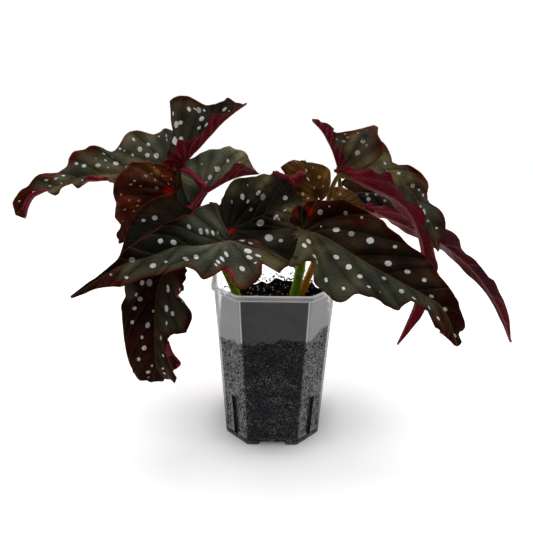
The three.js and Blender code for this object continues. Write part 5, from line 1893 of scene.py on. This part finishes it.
    def _slot_walls(self, mesher: Mesher, pair: Array, outer: Array, inner: Array) -> None:
        """Closes the four sides of each slot between the outer and the inner wall.

        Args:
            mesher: The pot's mesh so far.
            pair: Which columns of quads are cut out.
            outer: Point indices of the outer wall's rows along the slots, from the lowest up.
            inner: The same of the inner wall.
        """
        columns = np.flatnonzero(pair)
        for group in np.split(columns, np.flatnonzero(np.diff(columns) > 1) + 1):
            span = np.append(group, group[-1] + 1)
            sides = [(outer[:, column], inner[:, column], column > span[0]) for column in span[[0, -1]]]
            ends = [(outer[k, span], inner[k, span], k == 0) for k in (0, -1)]
            for out_line, in_line, flip in sides + ends:
                quad = [out_line[:-1], out_line[1:], in_line[1:], in_line[:-1]]
                # Painted shade: the slots' cut faces take the near black crumb material.
                mesher.add_faces(np.stack([quad[k] for k in ((0, 3, 2, 1) if flip else range(4))], axis=1), 1)


def ripples(x: Array, y: Array, z: Array, least: float, most: float, seed: int, count: int = 14) -> Array:
    """Seeded sum of plane sine waves.

    Args:
        x: Places in millimetres.
        y: Places in millimetres.
        z: Places in millimetres.
        least: The shortest wavelength.
        most: The longest wavelength.
        seed: Start of the random numbers.
        count: How many waves are summed.

    Returns:
        The sum, about -1 to 1.
    """
    random = np.random.default_rng(seed)
    total = 0.0
    for _ in range(count):
        way = unit(random.normal(size=3)) * 2 * np.pi / random.uniform(least, most)
        total = total + np.sin(x * way[0] + y * way[1] + z * way[2] + random.uniform(0, 6.3))
    return total / math.sqrt(count)


@dataclass(frozen=True)
class Soil:
    """Potting mix in the pot, with a crumbly top and perlite, bark and peat bits on it."""

    pot: Pot
    top: float = 98.0
    rise: float = 0.13
    gap: float = 0.3
    columns: int = 360
    seed: int = 11

    def height(self, x: Array, y: Array) -> Array:
        """Height of the top: three crossed waves on a level that rises to the back.

        Args:
            x: Places in millimetres.
            y: Places in millimetres.

        Returns:
            The height at each place.
        """
        level = self.top + self.rise * y
        level = level + 1.3 * np.sin(0.21 * x + 0.6) * np.cos(0.19 * y - 0.4)
        return level + 0.8 * np.sin(0.53 * x - 0.31 * y) + 0.5 * np.cos(0.71 * y + 0.37 * x + 1.0)

    def edge(self, turn: Array) -> Array:
        """Height along the pot's wall: the top with finer waves, one dip and one rise.

        Args:
            turn: Angles round the pot's axis.

        Returns:
            The height at each angle, in millimetres.
        """
        x, y = around(turn, self.pot.reach(turn, self.top, self.pot.wall + self.gap))
        uneven = 1.2 * ripples(x, y, 0 * x, 12, 45, 5, 8) + 0.7 * ripples(x, y, 0 * x, 2.5, 7, 6)
        turn = np.mod(turn, 8 * EIGHTH)
        return self.height(x, y) + 0.07 * x + uneven - 4.5 * bell(turn - 3.7, 0.4) + 2.6 * bell(turn - 4.95, 0.22)

    def build(self, finishes: Finishes) -> None:
        """Makes the soil body and the loose bits.

        Args:
            finishes: The finished materials by name.
        """
        self._body(finishes["potting_mix"])
        random = np.random.default_rng(self.seed)
        self._bits("peat_crumbs", finishes["peat_crumb"], random, 900, (0.5, 1.5), 0.2)
        self._bits("perlite", finishes["perlite"], random, 230, (0.45, 1.5), 0.5)
        self._bits("bark_bits", finishes["bark"], random, 120, (0.6, 1.8), 0.4)
        self._wall_crumbs(finishes["peat_crumb"], random)

    def _body(self, finish: Material) -> None:
        """Soil body in rings: out over the crumbly top, then down the side to the floor.

        Args:
            finish: Its material.
        """
        turns = np.linspace(0, 8 * EIGHTH, self.columns, endpoint=False)
        shares = np.linspace(0.02, 1, 52)[:, None]
        drops = np.append(0.03, np.linspace(0.06, 1, 60))[:, None]
        inset = self.pot.wall + self.gap
        x, y = around(turns, self.pot.reach(turns, self.top, inset) * shares)
        crumb = 0.9 * ripples(x, y, 0 * x, 3, 9, 3) + 0.35 * ripples(x, y, 0 * x, 1.6, 3, 4)
        edge = (self.edge(turns) - self.height(x[-1], y[-1])) * ease(0.9, 1, shares)
        top = self.height(x, y) + crumb * np.minimum(1, (1.04 - shares) * 12) + edge
        floor = self.pot.floor + self.gap
        side_z = top[-1] + (floor - top[-1]) * drops
        dent = 0.22 * (0.5 + 0.5 * ripples(x[-1], y[-1], side_z, 2, 7, 8))
        side_reach = self.pot.reach(turns, side_z, inset + np.clip(dent, 0, 0.5))
        points = np.concatenate([np.stack([x, y, top], -1), np.stack([*around(turns, side_reach), side_z], -1)])
        # Painted shade: the soil behind each slot is painted black, shifted to one side of the slot, for the dark
        # hollow there.
        off = (np.mod(turns, 2 * EIGHTH) - EIGHTH) * side_reach * np.sign(-x[-1] * y[-1])
        slot = ease(-1.0, -0.6, off) * ease(2.6, 2.1, off)
        slot = slot * ease(self.pot.slot_top + 0.6, self.pot.slot_top - 0.4, side_z)
        slot = slot * ease(self.pot.slot_bottom - 0.6, self.pot.slot_bottom + 0.4, side_z)
        # 1 where the soil lies packed on the wall, made less than 0 by the painted slot shade.
        pressed = np.concatenate([np.repeat(ease(0.97, 1, shares), turns.size, axis=1), 1 - 1.2 * slot])
        mesher = Mesher()
        # Painted light: the soil behind the corners is painted lighter.
        mesher.add_points(points, pressed=pressed, frost=self.pot.cut(turns))
        index = np.arange(pressed.size).reshape(pressed.shape)
        mesher.add_grid(index[:, ::-1], 0, round_way=True)
        mesher.close(index[0], (0, 0, float(top[0].mean())))
        mesher.close(index[-1][::-1], (0, 0, floor))
        settle(mesher.build("crumbly_soil", [finish]), "soil", "soil")

    def _lumps(
        self, name: str, finish: Material, places: Array, sizes: Array, random: np.random.Generator,
        flatness: float,
    ) -> None:
        """Makes a piece of small angular lumps: twenty-sided balls, with each point pushed in or out.

        Args:
            name: The piece's name.
            finish: Its material.
            places: The lumps' middles.
            sizes: Their radii.
            random: Source of the random numbers.
            flatness: How much the lumps may be flattened.
        """
        shape = bmesh.new()
        bmesh.ops.create_icosphere(shape, subdivisions=1, radius=1)
        shape.verts.index_update()
        base = np.array([vertex.co[:] for vertex in shape.verts])
        faces = np.array([[vertex.index for vertex in face.verts] for face in shape.faces])
        shape.free()
        count = len(places)
        lumps = base[None] * random.uniform(0.65, 1.15, (count, len(base), 1))
        stretch = random.uniform(1 - flatness, 1, (count, 1, 3))
        turns = np.linalg.qr(random.normal(size=(count, 3, 3)))[0]
        turns = turns * np.sign(np.linalg.det(turns))[:, None, None]
        lumps = np.einsum("nij,nkj->nki", turns, lumps * stretch) * sizes[:, None, None] + places[:, None]
        mesher = Mesher()
        mesher.add_points(lumps)
        mesher.add_faces((faces[None] + np.arange(count)[:, None, None] * len(base)).reshape(-1, 3))
        settle(mesher.build(name, [finish], smooth=False), "soil")

    def _bits(
        self, name: str, finish: Material, random: np.random.Generator, count: int,
        sizes: tuple[float, float], flatness: float,
    ) -> None:
        """Strews bits over the soil's top, clear of the canes.

        Args:
            name: The piece's name.
            finish: Its material.
            random: Source of the random numbers.
            count: How many bits are thrown.
            sizes: Their least and greatest radius.
            flatness: How much they may be flattened.
        """
        turn = random.uniform(0, 8 * EIGHTH, count)
        reach = self.pot.reach(turn, self.top, self.pot.wall + self.gap + 2) * np.sqrt(random.uniform(0, 1, count))
        x, y = around(turn, reach)
        size = random.uniform(*sizes, count) * random.uniform(0.7, 1, count)
        clear = np.ones(count, bool)
        for cane in CANES.values():
            foot = Midline(cane.path).at(0.08)[0][0]
            clear &= np.hypot(x - foot[0], y - foot[1]) > cane.radii[0] + size * 0.7
        places = np.stack([x, y, self.height(x, y) + 0.4 + 0.3 * size], -1)[clear]
        self._lumps(name, finish, places, size[clear], random, flatness)

    def _wall_crumbs(self, finish: Material, random: np.random.Generator, count: int = 1500) -> None:
        """Crumbs that cling to the inner wall above the soil, fewer and smaller the higher they are.

        Args:
            finish: Their material.
            random: Source of the random numbers.
            count: How many there are.
        """
        turn = random.uniform(0, 8 * EIGHTH, count)
        line = self.edge(turn)
        z = line + 1 + 22 * random.uniform(0, 1, count) ** 2.4
        size = random.uniform(0.3, 1.4, count) * random.uniform(0.4, 1, count) * ease(24, 0, z - line) + 0.12
        reach = self.pot.reach(turn, z, self.pot.wall + 0.45 * size)
        self._lumps("wall_crumbs", finish, np.stack([*around(turn, reach), z], -1), size, random, 0.5)


@dataclass(frozen=True)
class Softbox:
    """One large soft light: where it hangs, what it points at, its width and height, and how bright it is."""

    name: str
    place: tuple[float, float, float]
    aim: tuple[float, float, float]
    size: tuple[float, float]
    bright: float

    def build(self) -> None:
        """Adds the light; its power is pi times its area times its brightness."""
        data = bpy.data.lights.new(self.name, "AREA")
        data.shape = "RECTANGLE"
        data.size, data.size_y = self.size
        data.energy = math.pi * self.size[0] * self.size[1] * self.bright
        light = bpy.data.objects.new(self.name, data)
        light.location = self.place
        light.rotation_euler = (Vector(self.aim) - Vector(self.place)).to_track_quat("-Z", "Y").to_euler()
        light.visible_camera = False
        bpy.context.scene.collection.objects.link(light)


class Studio:
    """Pale floor, white surround and soft lights."""

    LIGHTS = (
        Softbox("overhead", (0, 0.28, 1.1), (0, 0.18, 0), (1.15, 0.9), 3.5),
        Softbox("front_card", (-0.2, -1.0, 0.95), (0, 0, 0.15), (1.2, 0.8), 0.8),
        Softbox("left_card", (-1.1, 0.1, 0.45), (0, 0, 0.12), (1.0, 0.8), 1.6),
        Softbox("right_card", (1.1, 0.1, 0.45), (0, 0, 0.12), (1.0, 0.8), 1.6),
    )
    SURROUND = 0.08
    FLOOR = ((-1.1, -0.17), (1.1, 0.75))

    def build(self) -> None:
        """Adds the floor, the surround and the lights."""
        (left, front), (right, back) = self.FLOOR
        mesh = bpy.data.meshes.new("floor")
        mesh.from_pydata([(left, front, 0), (right, front, 0), (right, back, 0), (left, back, 0)], [], [(0, 1, 2, 3)])
        mesh.materials.append(Seamless().build())
        floor = bpy.data.objects.new("floor", mesh)
        bpy.context.scene.collection.objects.link(floor)
        for light in self.LIGHTS:
            light.build()
        world = bpy.data.worlds.new("surround")
        world.use_nodes = True
        nodes, links = world.node_tree.nodes, world.node_tree.links
        path = nodes.new("ShaderNodeLightPath")
        strength = nodes.new("ShaderNodeMapRange")
        strength.inputs["To Min"].default_value = self.SURROUND
        strength.inputs["To Max"].default_value = 1.0
        links.new(path.outputs["Is Camera Ray"], strength.inputs["Value"])
        links.new(strength.outputs[0], nodes["Background"].inputs["Strength"])
        nodes["Background"].inputs["Color"].default_value = (1, 1, 1, 1)
        scene = bpy.context.scene
        scene.world = world
        scene.view_settings.view_transform = "Standard"


def all_finishes() -> Finishes:
    """Builds every material once.

    Returns:
        The materials by name.
    """
    gold = {
        "dark": paint(98, 62, 20), "light": paint(130, 92, 40), "brown": paint(78, 24, 8),
        "silver": paint(190, 172, 150), "vein": paint(70, 58, 16), "edge": paint(110, 36, 16),
        "gloss": 0.24, "coat": 0.12,
    }
    kinds = (
        BladeTop("leaf_top"),
        BladeTop("young_top", **gold),
        BladeUnder("leaf_under"),
        BladeUnder("young_under", paint(110, 22, 16), paint(124, 56, 34), paint(120, 76, 40)),
        Stalk("petiole", paint(112, 10, 28), paint(128, 26, 40), paint(150, 70, 74)),
        Stalk("young_stalk", paint(128, 74, 26), paint(104, 94, 28), paint(150, 120, 70)),
        Stalk("green_cane", paint(98, 136, 0), paint(128, 152, 14), paint(160, 170, 80)),
        Stalk("ripe_cane", paint(210, 140, 4), paint(186, 116, 8), paint(220, 170, 70)),
        MilkyPlastic("milky_plastic"),
        PottingMix("potting_mix"),
        Grit("peat_crumb", paint(17, 13, 10), paint(6, 5, 5)),
        Grit("perlite", paint(214, 210, 202), paint(150, 146, 138)),
        Grit("bark", paint(104, 62, 34), paint(48, 28, 16)),
    )
    return {kind.name: kind.build() for kind in kinds}


def main() -> None:
    """Builds the plant, its pot and the studio in order."""
    logging.basicConfig(level=logging.INFO, format="%(name)s: %(message)s")
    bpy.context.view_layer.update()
    lens = Lens()
    lens.build()
    Studio().build()
    finishes = all_finishes()
    soil = Soil(Pot())
    soil.pot.build(finishes, soil)
    soil.build(finishes)
    for name, cane in CANES.items():
        joints = [leaf.petiole[1] for leaf in LEAVES.values() if leaf.petiole[0] == name]
        cane.build(name, (*joints, *BARE_JOINTS), finishes)
    shapes = {name: LeafShape(name, leaf, lens, seed) for seed, (name, leaf) in enumerate(LEAVES.items())}
    for shape in shapes.values():
        shape.build(finishes)
    for number, flap in enumerate(FLAPS, 1):
        flap.build(number, shapes[flap.leaf], finishes)


if __name__ == "__main__":
    main()
